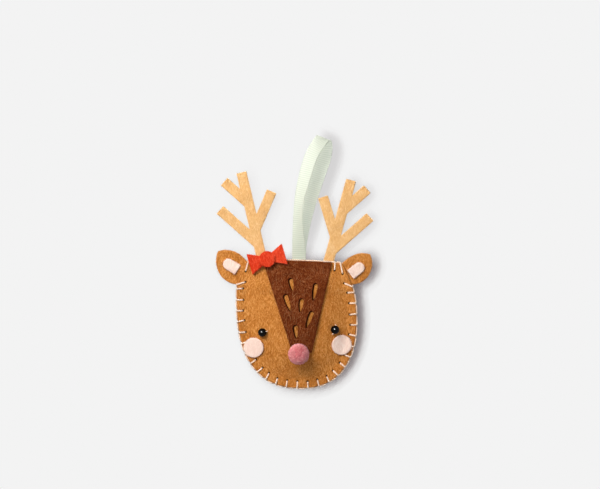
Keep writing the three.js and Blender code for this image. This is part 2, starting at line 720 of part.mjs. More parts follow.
const SIDES = [
  { name: 'left', side: -1, cutEnds: { top: edge[0], foot: edge[edge.length - 1] } },
  { name: 'right', side: 1, cutEnds: { top: edge[TOP_STEPS], foot: edge[TOP_STEPS + 1] } },
];
for (const { name, side, cutEnds } of SIDES) {
  const { shape, anchor } = earShape(side, EARS[name], cutEnds);
  add(`ear_${name}`, cut(plate(shape, FELT / 2), channel), 'camel');

  const { foot, lift } = LININGS[name];
  const lining = add(`ear_lining_${name}`, plate(liningShape(), 0), 'pink');
  lining.position.set(anchor.x + side * foot[0], -FELT / 2 - SEAT_GAP, anchor.y + foot[1]);
  lining.rotation.y = side > 0 ? degToRad(-lift) : degToRad(lift - 180);

  const { inset, lean } = ANTLERS[name];
  const antler = add(`antler_${name}`, antlerForm(side, ANTLERS[name]), 'gold');
  antler.position.set(cutEnds.top.x - side * inset, 0, cutEnds.top.y);
  antler.rotation.y = degToRad(side * lean);

  add(`cheek_${name}`, cut(cheekForm(CHEEKS[name]), channel), 'pink');

  const { centre, bore, threadTo } = eyes[name];
  const bead = add(`eye_bead_${name}`, beadForm(), 'black');
  bead.position.copy(centre);
  bead.quaternion.setFromUnitVectors(new THREE.Vector3(0, 1, 0), bore);
  add(`eye_thread_${name}`, tube(threadTo(FELT - SEAT_GAP), EYE_THREAD / 2), 'cream');
}

const bowBack = -(FELT / 2 + SEAT_GAP + 2 * FELT + 2 * SEAT_GAP);
const bow = add('bow_tails', plate(bowShape(), 0), 'red');
bow.position.set(BOW_AT[0], bowBack, BOW_AT[1]);
bow.rotation.y = degToRad(-BOW_TILT);
const disc = new THREE.CylinderGeometry(KNOT_DIAMETER / 2, KNOT_DIAMETER / 2, FELT, 24);
const knot = add('bow_knot', disc, 'red');
knot.position.set(BOW_AT[0], bowBack - FELT - SEAT_GAP - FELT / 2, BOW_AT[1]);

add('ribbon_stub', stubForm(), 'mint');
add('ribbon_loop', loopForm(), 'mint');

export default ornament;
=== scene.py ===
"""Looks of the felt reindeer ornament: felt, thread, ribbon, pom-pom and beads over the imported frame.

Lengths are millimetres in the head's own frame unless a name says otherwise: x from the middle of the face,
y from the seam plane between the two panels, z up from the top edge. The face looks along -Y.
"""

import logging
import math
from dataclasses import dataclass
from enum import Enum
from typing import Any, Callable, Iterable, Optional, Sequence

import bpy
import numpy as np
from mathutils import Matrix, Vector
from mathutils.geometry import delaunay_2d_cdt


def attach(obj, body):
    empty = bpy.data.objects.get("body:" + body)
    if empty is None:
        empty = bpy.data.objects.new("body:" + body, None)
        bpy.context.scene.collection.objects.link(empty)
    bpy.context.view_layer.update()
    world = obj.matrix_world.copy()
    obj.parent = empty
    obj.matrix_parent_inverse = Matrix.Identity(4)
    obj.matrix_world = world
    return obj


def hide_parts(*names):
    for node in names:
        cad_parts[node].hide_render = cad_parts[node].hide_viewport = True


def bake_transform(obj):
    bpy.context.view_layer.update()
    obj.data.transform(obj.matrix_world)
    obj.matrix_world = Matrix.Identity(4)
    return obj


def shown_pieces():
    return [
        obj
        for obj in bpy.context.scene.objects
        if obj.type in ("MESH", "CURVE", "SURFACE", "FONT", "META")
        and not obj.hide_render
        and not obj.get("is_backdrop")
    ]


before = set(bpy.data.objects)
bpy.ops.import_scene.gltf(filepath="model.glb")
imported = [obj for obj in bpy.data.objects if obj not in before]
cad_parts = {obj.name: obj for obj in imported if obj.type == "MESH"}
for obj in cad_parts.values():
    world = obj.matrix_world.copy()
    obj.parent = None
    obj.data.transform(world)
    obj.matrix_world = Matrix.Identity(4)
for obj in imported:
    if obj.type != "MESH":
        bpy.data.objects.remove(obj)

LOG = logging.getLogger("ornament")
Array = np.ndarray
Socket = bpy.types.NodeSocket
Place = tuple[float, float]
Tones = tuple[tuple[float, str], ...]
Lift = Callable[[Array, Array, Array], Array]

MM = 0.001
# The top of the loop in the head's frame, which is the row frame's origin
HANG = np.array([19.2, 0.0, 85.5])

# Sheet, thread and ribbon, and the depth of what is sewn into the seam
FELT = 1.5
THREAD = 0.9
EYE_THREAD = 0.6
RIBBON_WIDTH = 9.5
RIBBON_THICKNESS = 0.45
ROOT_DEPTH = 5.8
# Gap to the roots in the open seam, and the closer one between pieces that lie on each other
OPEN_GAP = 0.3
REST_GAP = 0.08
# How far loose fibres lie over the felt
NAP_LIFT = 0.06

# Blanket stitch: legs evenly spaced from ear to ear round the chin, others at the top corners and the ears'
# feet. A hole is placed along the edge from where its leg crosses it, and in from the edge.
STITCH_COUNT = 25
FIRST_STEP, LAST_STEP, BACK_STEP = 4.2, 3.2, 1.5
STITCH_INSET, UNEVEN_SLANT, UNEVEN_INSET = 4.4, 0.6, 0.35
TOP_PITCH, TOP_INSET = 3.7, 5.3
CORNER_STEP, CORNER_ALONG, CORNER_INSET = 1.4, 2.2, 7.4
EAR_FOOT_STEP, EAR_FOOT_ALONG, EAR_FOOT_INSET = 1.3, 3.6, 4.8


class Side(Enum):
    """The photograph's left and right, as the sign of x."""

    LEFT = -1
    RIGHT = 1

    @property
    def word(self) -> str:
        """Returns: the side as it stands in the node names."""
        return self.name.lower()


class Slot(str, Enum):
    """Material slots of the record."""

    CAMEL = "camel_felt"
    BROWN = "brown_felt"
    GOLD = "gold_felt"
    PINK = "pink_felt"
    RED = "red_felt"
    YARN = "pompom_yarn"
    CREAM = "cream_thread"
    BEAD = "black_bead"
    RIBBON = "grosgrain_ribbon"
    FILLING = "filling"


@dataclass(frozen=True)
class FeltFinish:
    """A felt's colours and the size of its fibre streaks.

    Args:
        colour: the felt's middle colour, sRGB hex.
        dark: the colour in its hollows.
        light: the colour of its raised fibres.
        hair: the colour of the loose fibres on it.
        contrast: how far the streaks leave the middle colour.
        blotch: the share of the slow change of tone.
        hairs: loose fibres that lie on a square centimetre of it.
        hair_mm: the mean length of a loose fibre.
        streak_mm: length of a fibre streak.
        roughness: how matt it is.
        sheen: weight of the glow along its fibres.
        sheen_roughness: how wide that glow is.
    """

    colour: str
    dark: str
    light: str
    hair: str
    contrast: float = 0.5
    blotch: float = 0.2
    hairs: float = 14.0
    hair_mm: float = 2.8
    streak_mm: float = 2.5
    roughness: float = 0.95
    sheen: float = 0.12
    sheen_roughness: float = 0.5


@dataclass(frozen=True)
class Finish:
    """How a piece that isn't felt looks.

    Args:
        tones: its colours from the painted shade of its hollows to its raised fibres, each with its place, or
            its one colour.
        roughness: how matt it is.
        gloss: level of its mirror-like reflection.
        sheen: weight of the glow along its fibres.
        through: share of the light that goes through it.
    """

    tones: Tones
    roughness: float
    gloss: float = 0.0
    sheen: float = 0.0
    through: float = 0.0


FELTS = {
    # Warm camel wool, flecked with paler fibre: the head and ears
    Slot.CAMEL: FeltFinish("#bb7737", "#985922", "#d69a58", "#dfa966", contrast=0.52, blotch=0.12),
    # Dark chestnut with long pale hairs that cross it: the blaze
    Slot.BROWN: FeltFinish("#622b11", "#441d0a", "#8c5130", "#a87450", blotch=0.1, hairs=20.0, hair_mm=4.8),
    # Pale gold, softly mottled: the antlers
    Slot.GOLD: FeltFinish("#ddae74", "#cd9a5f", "#eecb9a", "#f6d9ae", contrast=0.42),
    # Blush that is almost even: cheeks and ear linings
    Slot.PINK: FeltFinish("#eed4c9", "#e5c4b8", "#f8e6dd", "#fbece5", contrast=0.3),
    # Bright orange red, the one strong colour: the bow
    Slot.RED: FeltFinish("#d23b22", "#bb2d16", "#e66242", "#ee7c5a", contrast=0.4),
}
FINISHES = {
    # Dense rose tufts, with painted shade darker towards their roots and between them, read as a fluffy ball
    Slot.YARN: Finish(((0.0, "#e07c86"), (0.5, "#f29ca2"), (1.0, "#fbc3c2")), 0.9, sheen=0.3),
    # Cream cotton, with painted shade a little darker where its plies meet, reads as twisted thread
    Slot.CREAM: Finish(((0.0, "#dcb89c"), (0.55, "#f3dcc8"), (1.0, "#fbece0")), 0.65, sheen=0.2),
    # Black with one sharp glint reads as a polished bead
    Slot.BEAD: Finish(((0.0, "#040404"),), 0.04, gloss=0.08),
    # Pale mint, with painted shade darker between its ribs, and lit from behind, reads as thin grosgrain
    Slot.RIBBON: Finish(
        ((0.0, "#b9c5b8"), (0.5, "#dae1d7"), (1.0, "#e6ebe3")), 0.6, gloss=0.05, sheen=0.15, through=0.52
    ),
    # Dull white loose fibre, hidden between the panels
    Slot.FILLING: Finish(((0.0, "#f4f2ec"),), 1.0),
}
# Painted shade: the dark that is mixed into felt in stitch holes and on the walls of cut holes
PAINTED_SHADE_COLOUR = "#140a05"
GLOW_COLOUR = "#eef0ea"


def linear(code: str) -> tuple[float, float, float, float]:
    """Args: an sRGB hex colour. Returns: linear red, green and blue, and an alpha of 1."""
    part = np.array([int(code[i : i + 2], 16) for i in (1, 3, 5)]) / 255
    value = np.where(part <= 0.04045, part / 12.92, ((part + 0.055) / 1.055) ** 2.4)
    return (*value.tolist(), 1.0)


def smoothstep(x: Array, low: float, high: float) -> Array:
    """Args: values, low, high. Returns: 0 up to low, 1 from high, and an ease between."""
    t = np.clip((x - low) / (high - low), 0, 1)
    return t * t * (3 - 2 * t)


def unit(v: Array) -> Array:
    """Args: vectors along the last axis. Returns: the same with a length of 1."""
    return v / np.linalg.norm(v, axis=-1, keepdims=True)


def at_depth(plan: Array, y: Array) -> Array:
    """Args: points in x and z, y of each. Returns: the points in x, y and z."""
    return np.stack([plan[..., 0], y, plan[..., 1]], -1)


def turned(plan: Array, degrees: float) -> Array:
    """Args: points in x and z, an angle. Returns: the points turned anticlockwise about the origin."""
    c, s = math.cos(math.radians(degrees)), math.sin(math.radians(degrees))
    return plan @ np.array([[c, s], [-s, c]])


def travelled(points: Array) -> Array:
    """Args: points of a line. Returns: the distance along the line of each."""
    return np.concatenate([[0], np.cumsum(np.linalg.norm(np.diff(points, axis=0), axis=1))])


def along(s: Array, reach: Array, points: Array) -> Array:
    """Args: distances wanted, the points' own distances, points. Returns: the places at those distances."""
    return np.stack([np.interp(s, reach, column) for column in points.T], 1)


class Ripple:
    """Smooth repeatable unevenness: the sum of a few sine waves of random direction, length and phase.

    Args:
        seed: picks the waves.
        wavelength: their middle wavelength.
        waves: how many are summed.
    """

    # Shortest and longest wave as shares of the middle one
    LENGTHS = (0.6, 1.7)

    def __init__(self, seed: int, wavelength: float, waves: int = 9) -> None:
        """Draws the waves."""
        rng = np.random.default_rng(seed)
        turn = rng.uniform(0, 2 * math.pi, waves)
        pace = 2 * math.pi / (wavelength * rng.uniform(*self.LENGTHS, waves))
        self.k = np.stack([np.cos(turn), np.sin(turn)]) * pace
        self.phase = rng.uniform(0, 2 * math.pi, waves)

    def __call__(self, a: Array, b: Array) -> Array:
        """Args: two coordinates of the points. Returns: values of about -1 to 1."""
        waves = np.sin(np.stack([a, b], -1) @ self.k + self.phase)
        return waves.sum(-1) / math.sqrt(2 * len(self.phase))


@dataclass
class HeadForm:
    """The head's outline, its sewn edge and the swell of its two panels.

    The outline has an arched top, two slanted ear cuts, bulging sides and a superellipse for the chin.
    The swell falls from 1 at the middle to 0 at the seam as a power of the share of the way out.

    Args:
        width: across its widest part.
        height: from the top to the chin.
        widest: how far down it is widest.
        power: of the superellipse.
        left_radius: of the left side's bulge above that.
        right_radius: of the right side's.
        top_width: between the top corners.
        top_radius: of the top edge's arch.
        top_high: where the arch is highest.
        cut_drop: how far down the ear cuts end.
        skew: how much x shifts with the way down.
        skew_level: where it doesn't.
        allowance: width of the sewn border.
        front_puff: swell of the front panel.
        back_puff: swell of the back panel.
        puff_power: how flat the swell's middle is.
        puff_ease: how softly it meets the seam.
        open_drop: how far down the panels start to close.
        closed_drop: where they are closed.
    """

    width: float = 83.0
    height: float = 89.0
    widest: float = 35.0
    power: float = 2.4
    left_radius: float = 180.0
    right_radius: float = 75.0
    top_width: float = 67.0
    top_radius: float = 614.0
    top_high: float = -15.6
    cut_drop: float = 16.8
    skew: float = 0.045
    skew_level: float = 42.0
    allowance: float = 6.0
    front_puff: float = 8.5
    back_puff: float = 7.5
    puff_power: float = 2.2
    puff_ease: float = 1.25
    open_drop: float = 19.0
    closed_drop: float = 25.0

    MIDDLE = np.array([0.0, -46.0])
    TOP_STEPS, SIDE_STEPS, CHIN_STEPS = 24, 14, 150
    # How far to each side a normal is measured
    NORMAL_STEP = 0.5

    def __post_init__(self) -> None:
        """Measures the edge, its normals and the seam's reach from the middle."""
        self.edge = self._outline()
        after = np.roll(self.edge, -1, 0) - self.edge
        self.lengths = np.linalg.norm(after, axis=1)
        self.starts = np.concatenate([[0], np.cumsum(self.lengths)])
        self.length = float(self.starts[-1])
        self.normals = np.stack([after[:, 1], -after[:, 0]], 1) / self.lengths[:, None]
        both = self.normals + np.roll(self.normals, 1, 0)
        self.mitres = 2 * both / (both**2).sum(1, keepdims=True)
        away = self.edge + self.allowance * self.mitres - self.MIDDLE
        angle = np.arctan2(away[:, 1], away[:, 0])
        order = np.argsort(angle)
        self.ring_angle = angle[order]
        self.ring_reach = np.hypot(away[:, 0], away[:, 1])[order]
        self.top_length = float(self.starts[self.TOP_STEPS])
        self.cut_length = float(self.lengths[self.TOP_STEPS])

    def _outline(self) -> Array:
        """Returns: the cut edge as points in x and z, clockwise from the top left corner."""
        top = self.top_width * np.linspace(-0.5, 0.5, self.TOP_STEPS + 1)
        drop = np.linspace(self.cut_drop, self.widest, self.SIDE_STEPS, endpoint=False)
        right = self.width / 2 - (self.widest - drop) ** 2 / (2 * self.right_radius)
        left = self.width / 2 - (self.widest - drop) ** 2 / (2 * self.left_radius)
        turn = np.linspace(0, math.pi, self.CHIN_STEPS + 1)
        cosine = np.cos(turn)
        across = np.sign(cosine) * np.abs(cosine) ** (2 / self.power) * self.width / 2
        down = np.clip(np.sin(turn), 0, 1) ** (2 / self.power)
        down = self.widest + (self.height - self.widest) * down
        x = np.concatenate([top, right, across, -left[::-1]])
        v = np.concatenate([self.top_drop(top), drop, down, drop[::-1]])
        return np.stack([x + self.skew * (v - self.skew_level), -v], 1)

    def top_drop(self, x: Array) -> Array:
        """Args: x before the skew. Returns: how far the arched top edge has dropped there."""
        return (x - self.top_high) ** 2 / (2 * self.top_radius)

    def corner(self, side: Side) -> Array:
        """Args: side. Returns: the top corner above that side's ear cut."""
        return self.edge[0] if side is Side.LEFT else self.edge[self.TOP_STEPS]

    def cut_foot(self, side: Side) -> Array:
        """Args: side. Returns: the lower end of that side's ear cut."""
        return self.edge[-1] if side is Side.LEFT else self.edge[self.TOP_STEPS + 1]

    def _locate(self, s: Array) -> tuple[Array, Array, Array]:
        """Args: distances along the edge. Returns: segment, next segment and share along the segment."""
        s = np.mod(s, self.length)
        i = np.clip(np.searchsorted(self.starts, s, side="right") - 1, 0, len(self.edge) - 1)
        return i, (i + 1) % len(self.edge), ((s - self.starts[i]) / self.lengths[i])[..., None]

    def stations(self, count: int) -> Array:
        """Args: count. Returns: that many even distances along the edge."""
        return np.arange(count) * self.length / count

    def ring(self, s: Array, inset: float) -> Array:
        """Args: distances along the edge, inset. Returns: points beside it, uncrossed at its corners."""
        i, j, share = self._locate(s)
        moved = self.edge + inset * self.mitres
        return moved[i] * (1 - share) + moved[j] * share

    def beside(self, s: float, inset: float) -> Array:
        """Args: s along the edge, inset square to its own side. Returns: the point in x and z."""
        i, j, share = self._locate(np.array([s]))
        return (self.edge[i] * (1 - share) + self.edge[j] * share + inset * self.normals[i])[0]

    def tangent(self, s: float) -> Array:
        """Args: s along the edge. Returns: its direction there, clockwise."""
        i, _, _ = self._locate(np.array([s]))
        inward = self.normals[i[0]]
        return np.array([-inward[1], inward[0]])

    def opening(self, z: Array) -> Array:
        """Args: z. Returns: half the space between the panels, wide at the roots, closed below the ears."""
        wide, closed = FELT / 2 + OPEN_GAP, OPEN_GAP / 2
        return wide + (closed - wide) * smoothstep(-z, self.open_drop, self.closed_drop)

    def swell(self, x: Array, z: Array) -> Array:
        """Args: x, z. Returns: the swell from 0 at the seam to 1 at the middle."""
        dx, dz = x - self.MIDDLE[0], z - self.MIDDLE[1]
        reach = np.interp(np.arctan2(dz, dx), self.ring_angle, self.ring_reach, period=2 * math.pi)
        out = np.clip(np.hypot(dx, dz) / reach, 0, 1)
        return (1 - out**self.puff_power) ** self.puff_ease

    def depth(self, x: Array, z: Array, puff: float) -> Array:
        """Args: x, z, a panel's puff. Returns: its inner side, as a distance from the seam plane."""
        return self.opening(z) + puff * self.swell(x, z)

    def face(self, x: float, z: float, lift: float) -> Array:
        """Args: x, z, lift over the front panel's inner side. Returns: the point on the face."""
        depth = self.depth(np.array([x]), np.array([z]), self.front_puff)[0]
        return np.array([x, -depth - lift, z])

    def face_normal(self, x: float, z: float) -> Array:
        """Args: x, z. Returns: the outward normal of the face there."""
        step = self.NORMAL_STEP
        across = self.face(x + step, z, 0) - self.face(x - step, z, 0)
        up = self.face(x, z + step, 0) - self.face(x, z - step, 0)
        return unit(np.cross(across, up))


HEAD = HeadForm()


@dataclass(frozen=True)
class Stitch:
    """One blanket stitch.

    Args:
        at: where its front leg crosses the edge, along the edge.
        hole: the point in x and z where it goes through.
        before: depth of the run that comes to it, as a share of the panel's middle.
        after: depth of the run that leaves it.
    """

    at: float
    hole: Array
    before: float
    after: float

    @classmethod
    def sew(cls, at: float, ahead: float, inset: float, before: float, after: float) -> "Stitch":
        """Args: at, its hole's place along and in from the edge, before, after. Returns: the stitch."""
        return cls(at, HEAD.beside(at, inset) + ahead * HEAD.tangent(at), before, after)

    def start(self, back: bool) -> Array:
        """Args: whether the back leg is meant. Returns: where the leg crosses the edge."""
        return HEAD.beside(self.at + BACK_STEP if back else self.at, 0)


def sewn() -> list[Stitch]:
    """Returns: the stitches in sewing order, clockwise from the top left corner, as uneven as by hand."""
    front, seam, back = -1.0, 0.0, 1.0
    foot = HEAD.top_length + HEAD.cut_length + EAR_FOOT_STEP
    last = HEAD.length - HEAD.cut_length - EAR_FOOT_STEP
    corner = HEAD.top_length - CORNER_STEP
    rng = np.random.default_rng(3)
    slants = rng.uniform(-UNEVEN_SLANT, UNEVEN_SLANT, STITCH_COUNT)
    insets = STITCH_INSET + rng.uniform(-UNEVEN_INSET, UNEVEN_INSET, STITCH_COUNT)
    places = np.linspace(foot + FIRST_STEP, last - LAST_STEP, STITCH_COUNT)
    return [
        Stitch.sew(CORNER_STEP, -CORNER_ALONG, CORNER_INSET, back, front),
        Stitch.sew(corner - TOP_PITCH, 0, TOP_INSET, front, front),
        Stitch.sew(corner, CORNER_ALONG, CORNER_INSET, front, back),
        Stitch.sew(foot, -EAR_FOOT_ALONG, EAR_FOOT_INSET, back, seam),
        *[Stitch.sew(at, slant, inset, seam, seam) for at, slant, inset in zip(places, slants, insets)],
        Stitch.sew(last, EAR_FOOT_ALONG, EAR_FOOT_INSET, seam, back),
    ]


STITCHES = sewn()


def row_frame(points: Array) -> Array:
    """Args: points in the head's frame, in mm. Returns: the points in the row frame, in metres."""
    return (np.asarray(points, float) - HANG) * MM


def quads(rows: int, columns: int) -> Array:
    """Joins the points of a grid whose rows close on themselves.

    Args:
        rows: number of rows.
        columns: points in a row.
    Returns:
        Four vertex numbers to a face.
    """
    r, c = np.meshgrid(np.arange(rows - 1), np.arange(columns), indexing="ij")
    a = r * columns + c
    b = r * columns + (c + 1) % columns
    return np.stack([a, b, b + columns, a + columns], -1).reshape(-1, 4)


def caps(rows: int, columns: int) -> list[Array]:
    """Args: rows and columns of such a grid. Returns: the flat faces on its first and last row."""
    ring = np.arange(columns)[None]
    return [ring[:, ::-1], ring + (rows - 1) * columns]


def fans(rows: int, columns: int) -> list[Array]:
    """Closes such a grid with triangles to two points that come after it.

    Args:
        rows: number of rows.
        columns: points in a row.
    Returns:
        The triangles on its first row, and those on its last.
    """
    ring = np.arange(columns)
    following = np.roll(ring, -1)
    far, tip = (rows - 1) * columns, np.full(columns, rows * columns)
    return [np.stack([following, ring, tip], 1), np.stack([ring + far, following + far, tip + 1], 1)]


class Tree:
    """The nodes of a material or a world.

    Args:
        owner: the material or the world.
    """

    def __init__(self, owner: bpy.types.ID) -> None:
        """Turns the owner's nodes on."""
        owner.use_nodes = True
        self.owner = owner
        self.nodes, self.links = owner.node_tree.nodes, owner.node_tree.links

    def put(self, socket: Socket, value: Any) -> None:
        """Sets or links an input.

        Args:
            socket: the input.
            value: a value, an output, or a node whose first output is meant.
        """
        if isinstance(value, bpy.types.Node):
            value = next(output for output in value.outputs if output.enabled)
        if isinstance(value, Socket):
            self.links.new(value, socket)
        else:
            socket.default_value = value

    def feed(self, node: bpy.types.Node, **inputs: Any) -> None:
        """Sets or links inputs of a node.

        Args:
            node: the node.
            inputs: what each input gets, by its name in lower case.
        """
        sockets = {}
        for socket in node.inputs:
            if socket.enabled:
                sockets.setdefault(socket.name.lower().replace(" ", "_"), socket)
        for key, value in inputs.items():
            self.put(sockets[key], value)

    def add(
        self,
        kind: str,
        *values: Any,
        settings: Optional[dict[str, Any]] = None,
        stops: Tones = (),
        **inputs: Any,
    ) -> bpy.types.Node:
        """Adds a node with its settings and links.

        Args:
            kind: the node's type without its prefix.
            values: what its first inputs get, in order.
            settings: properties of the node.
            stops: the colours of a ramp, each with its place.
            inputs: what its other inputs get, by their names in lower case.
        Returns:
            The node.
        """
        node = self.nodes.new("ShaderNode" + kind)
        for key, value in (settings or {}).items():
            setattr(node, key, value)
        if stops:
            ramp = node.color_ramp.elements
            for end, (place, code) in zip(ramp, (stops[0], stops[-1])):
                end.position, end.color = place, linear(code)
            for place, code in stops[1:-1]:
                ramp.new(place).color = linear(code)
        for socket, value in zip(node.inputs, values):
            self.put(socket, value)
        self.feed(node, **inputs)
        return node


class Paint:
    """The materials, one to a slot, each made when it is first asked for."""

    made: dict[Slot, bpy.types.Material] = {}

    SCALE, WEIGHTED = {"operation": "SCALE"}, {"operation": "MULTIPLY_ADD"}
    # Two layers of fibre: width in mm, share of the streak's length, turn in degrees and weight. Real fibres
    # are a few hundredths of a millimetre wide, too fine to show, so these are drawn coarser.
    STREAKS = ((0.62, 1.0, 14.0, 0.55), (0.54, 0.8, -42.0, 0.45))
    # In waves to a millimetre: how the streaks wander, and how far in mm, the slow blotches and the fine nap
    WANDER_SCALE, WANDER_MM = 0.05, 12.0
    BLOTCH_SCALE, NAP_SCALE = 0.09, 3.5
    # How far from its middle the pattern takes the dark and the light colour, at no contrast
    TONE_REACH = 0.2
    # The bump's depth, its shares of streak and nap, and its strength, which fades on the thin loose fibres
    BUMP_M, STREAK_BUMP, NAP_BUMP = 0.0006, 0.6, 0.4
    BUMP_STRENGTH, FIBRE_FADE = 0.8, -9.0

    @classmethod
    def of(cls, slot: Slot) -> bpy.types.Material:
        """Args: slot. Returns: its material."""
        if slot not in cls.made:
            tree = Tree(bpy.data.materials.new(slot.value))
            if slot in FELTS:
                cls.felt(tree, FELTS[slot])
            else:
                cls.plain(tree, FINISHES[slot])
            cls.made[slot] = tree.owner
        return cls.made[slot]

    @classmethod
    def felt(cls, t: Tree, finish: FeltFinish) -> None:
        """Pressed wool, matt and warm: wandering streaks of fibre, slow blotches, a fine nap, a sheen, and
        painted shade in its holes.

        Args:
            t: the material's nodes.
            finish: the felt's colours and streaks.
        """
        place = t.add("TexCoord").outputs["Object"]
        in_mm = t.add("VectorMath", vector=place, scale=1 / MM, settings=cls.SCALE)
        wander = t.add("TexNoise", vector=in_mm, scale=cls.WANDER_SCALE, detail=1.0).outputs["Color"]
        swing = t.add("VectorMath", vector=wander, scale=cls.WANDER_MM, settings=cls.SCALE)
        bent = t.add("VectorMath", in_mm, swing, settings={"operation": "ADD"})
        streaks: Any = 0.0
        for width, share, turn, weight in cls.STREAKS:
            stretch = (1 / width, 1 / width, 1 / (finish.streak_mm * share))
            lie = t.add("Mapping", vector=bent, scale=stretch, rotation=(0.0, math.radians(turn), 0.0))
            streak = t.add("TexNoise", vector=lie, scale=1.0, detail=4.0, roughness=0.66)
            streaks = t.add("Math", streak, weight * (1 - finish.blotch), streaks, settings=cls.WEIGHTED)
        blotch = t.add("TexNoise", vector=in_mm, scale=cls.BLOTCH_SCALE, detail=3.0, roughness=0.55)
        total = t.add("Math", blotch, finish.blotch, streaks, settings=cls.WEIGHTED)
        reach = cls.TONE_REACH * (1 - finish.contrast)
        stops = ((0.5 - reach, finish.dark), (0.5, finish.colour), (0.5 + reach, finish.light))
        wool = t.add("ValToRGB", total, stops=stops)
        hair = t.add("Attribute", settings={"attribute_name": "tone"}).outputs["Fac"]
        hole = t.add("Attribute", settings={"attribute_name": "hole"}).outputs["Fac"]
        haired = t.add("MixRGB", hair, wool, linear(finish.hair))
        nap = t.add("TexNoise", vector=in_mm, scale=cls.NAP_SCALE, detail=4.0, roughness=0.7)
        height = t.add("Math", total, cls.STREAK_BUMP, 0.0, settings=cls.WEIGHTED)
        height = t.add("Math", nap, cls.NAP_BUMP, height, settings=cls.WEIGHTED)
        fading = {**cls.WEIGHTED, "use_clamp": True}
        strength = t.add("Math", hair, cls.FIBRE_FADE, cls.BUMP_STRENGTH, settings=fading)
        # The hole value paints shade into the felt's colour at stitch holes and on the walls of holes.
        t.feed(
            t.nodes["Principled BSDF"],
            base_color=t.add("MixRGB", hole, haired, linear(PAINTED_SHADE_COLOUR)),
            normal=t.add("Bump", strength=strength, distance=cls.BUMP_M, height=height),
            roughness=finish.roughness,
            specular_ior_level=0.0,
            sheen_weight=finish.sheen,
            sheen_roughness=finish.sheen_roughness,
            sheen_tint=linear(finish.light),
        )

    @staticmethod
    def plain(t: Tree, finish: Finish) -> None:
        """Anything but felt: tones that follow the piece, with painted shade in its hollows, and what
        FINISHES says of gloss, sheen and glow.

        Args:
            t: the material's nodes.
            finish: its colours and how it takes light.
        """
        colour: Any = linear(finish.tones[0][1])
        if len(finish.tones) > 1:
            tone = t.add("Attribute", settings={"attribute_name": "tone"}).outputs["Fac"]
            colour = t.add("ValToRGB", tone, stops=finish.tones)
        shader = t.nodes["Principled BSDF"]
        t.feed(shader, base_color=colour, roughness=finish.roughness)
        t.feed(shader, specular_ior_level=finish.gloss, sheen_weight=finish.sheen)
        if finish.through:
            glow = t.add("BsdfTranslucent", color=linear(GLOW_COLOUR))
            t.feed(t.nodes["Material Output"], surface=t.add("MixShader", finish.through, shader, glow))


def make(
    name: str,
    points: Array,
    faces: Sequence[Array],
    slot: Slot,
    nodes: Iterable[str] = (),
    body: Optional[str] = "head",
    values: Optional[dict[str, Array]] = None,
) -> bpy.types.Object:
    """Adds a piece as a smooth mesh in the row frame.

    Args:
        name: the piece's name.
        points: vertices in the head's frame, in mm.
        faces: arrays of faces of one size each.
        slot: the record's slot, which picks the material too.
        nodes: the CAD nodes that the piece stands for.
        body: the CAD body that it rides on, or None to leave it unattached.
        values: point attributes for the material.
    Returns:
        The new object.
    """
    mesh = bpy.data.meshes.new(name)
    everything = [face for group in faces for face in np.asarray(group, int).tolist()]
    mesh.from_pydata(row_frame(points).tolist(), [], everything)
    mesh.polygons.foreach_set("use_smooth", np.full(len(mesh.polygons), True))
    for key, value in (values or {}).items():
        attribute = mesh.attributes.new(key, "FLOAT", "POINT")
        attribute.data.foreach_set("value", np.asarray(value, np.float32))
    mesh.materials.append(Paint.of(slot))
    obj = bpy.data.objects.new(name, mesh)
    bpy.context.scene.collection.objects.link(obj)
    if nodes:
        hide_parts(*nodes)
    if body:
        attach(obj, body)
    return obj


def resampled(loop: Array, step: float) -> Array:
    """Spaces points evenly round a loop.

    Args:
        loop: the points of a closed loop.
        step: the spacing wanted.
    Returns:
        The new points.
    """
    closed = np.vstack([loop, loop[:1]])
    reach = travelled(closed)
    s = np.linspace(0, reach[-1], max(int(round(reach[-1] / step)), 8), endpoint=False)
    return along(s, reach, closed)


def eased(loop: Array, passes: int) -> Array:
    """Args: a closed loop, how often it is smoothed. Returns: the loop with its corners a little rounded."""
    for _ in range(passes):
        loop = (np.roll(loop, 1, 0) + 2 * loop + np.roll(loop, -1, 0)) / 4
    return loop


def outward(loop: Array) -> Array:
    """Args: a closed loop, anticlockwise. Returns: its unit normals, pointing out of it."""
    way = np.roll(loop, -1, 0) - np.roll(loop, 1, 0)
    normal = np.stack([way[:, 1], -way[:, 0]], 1)
    return normal / np.maximum(np.linalg.norm(normal, axis=1, keepdims=True), 1e-9)


def anticlockwise(loop: Array) -> Array:
    """Args: a closed loop. Returns: the loop, turned round if it ran clockwise."""
    following = np.roll(loop, -1, 0)
    area = (loop[:, 0] * following[:, 1] - loop[:, 1] * following[:, 0]).sum()
    return loop if area > 0 else loop[::-1]


def within(points: Array, loop: Array) -> Array:
    """Tests points by counting the edges to the right of each, which is odd inside a loop.

    Args:
        points: the points in x and z.
        loop: a closed loop.
    Returns:
        Which points lie inside it.
    """
    a, b = loop, np.roll(loop, -1, 0)
    px, pz = points[:, :1], points[:, 1:]
    crosses = (a[:, 1] > pz) != (b[:, 1] > pz)
    rise = np.where(np.abs(b[:, 1] - a[:, 1]) < 1e-12, 1e-12, b[:, 1] - a[:, 1])
    at = a[:, 0] + (pz - a[:, 1]) * (b[:, 0] - a[:, 0]) / rise
    return (crosses & (px < at)).sum(1) % 2 == 1


def inside(points: Array, loops: Sequence[Array]) -> Array:
    """Tests points against a shape with holes.

    Args:
        points: the points in x and z.
        loops: the shape's outline, then its holes.
    Returns:
        Which points lie in the outline and in no hole.
    """
    keep = within(points, loops[0])
    for hole in loops[1:]:
        keep &= ~within(points, hole)
    return keep


def nearest(points: Array, loop: Array) -> Array:
    """Args: points, a loop's points. Returns: each point's distance from the nearest of them."""
    return np.sqrt(((points[:, None, :] - loop[None, :, :]) ** 2).sum(-1)).min(1)


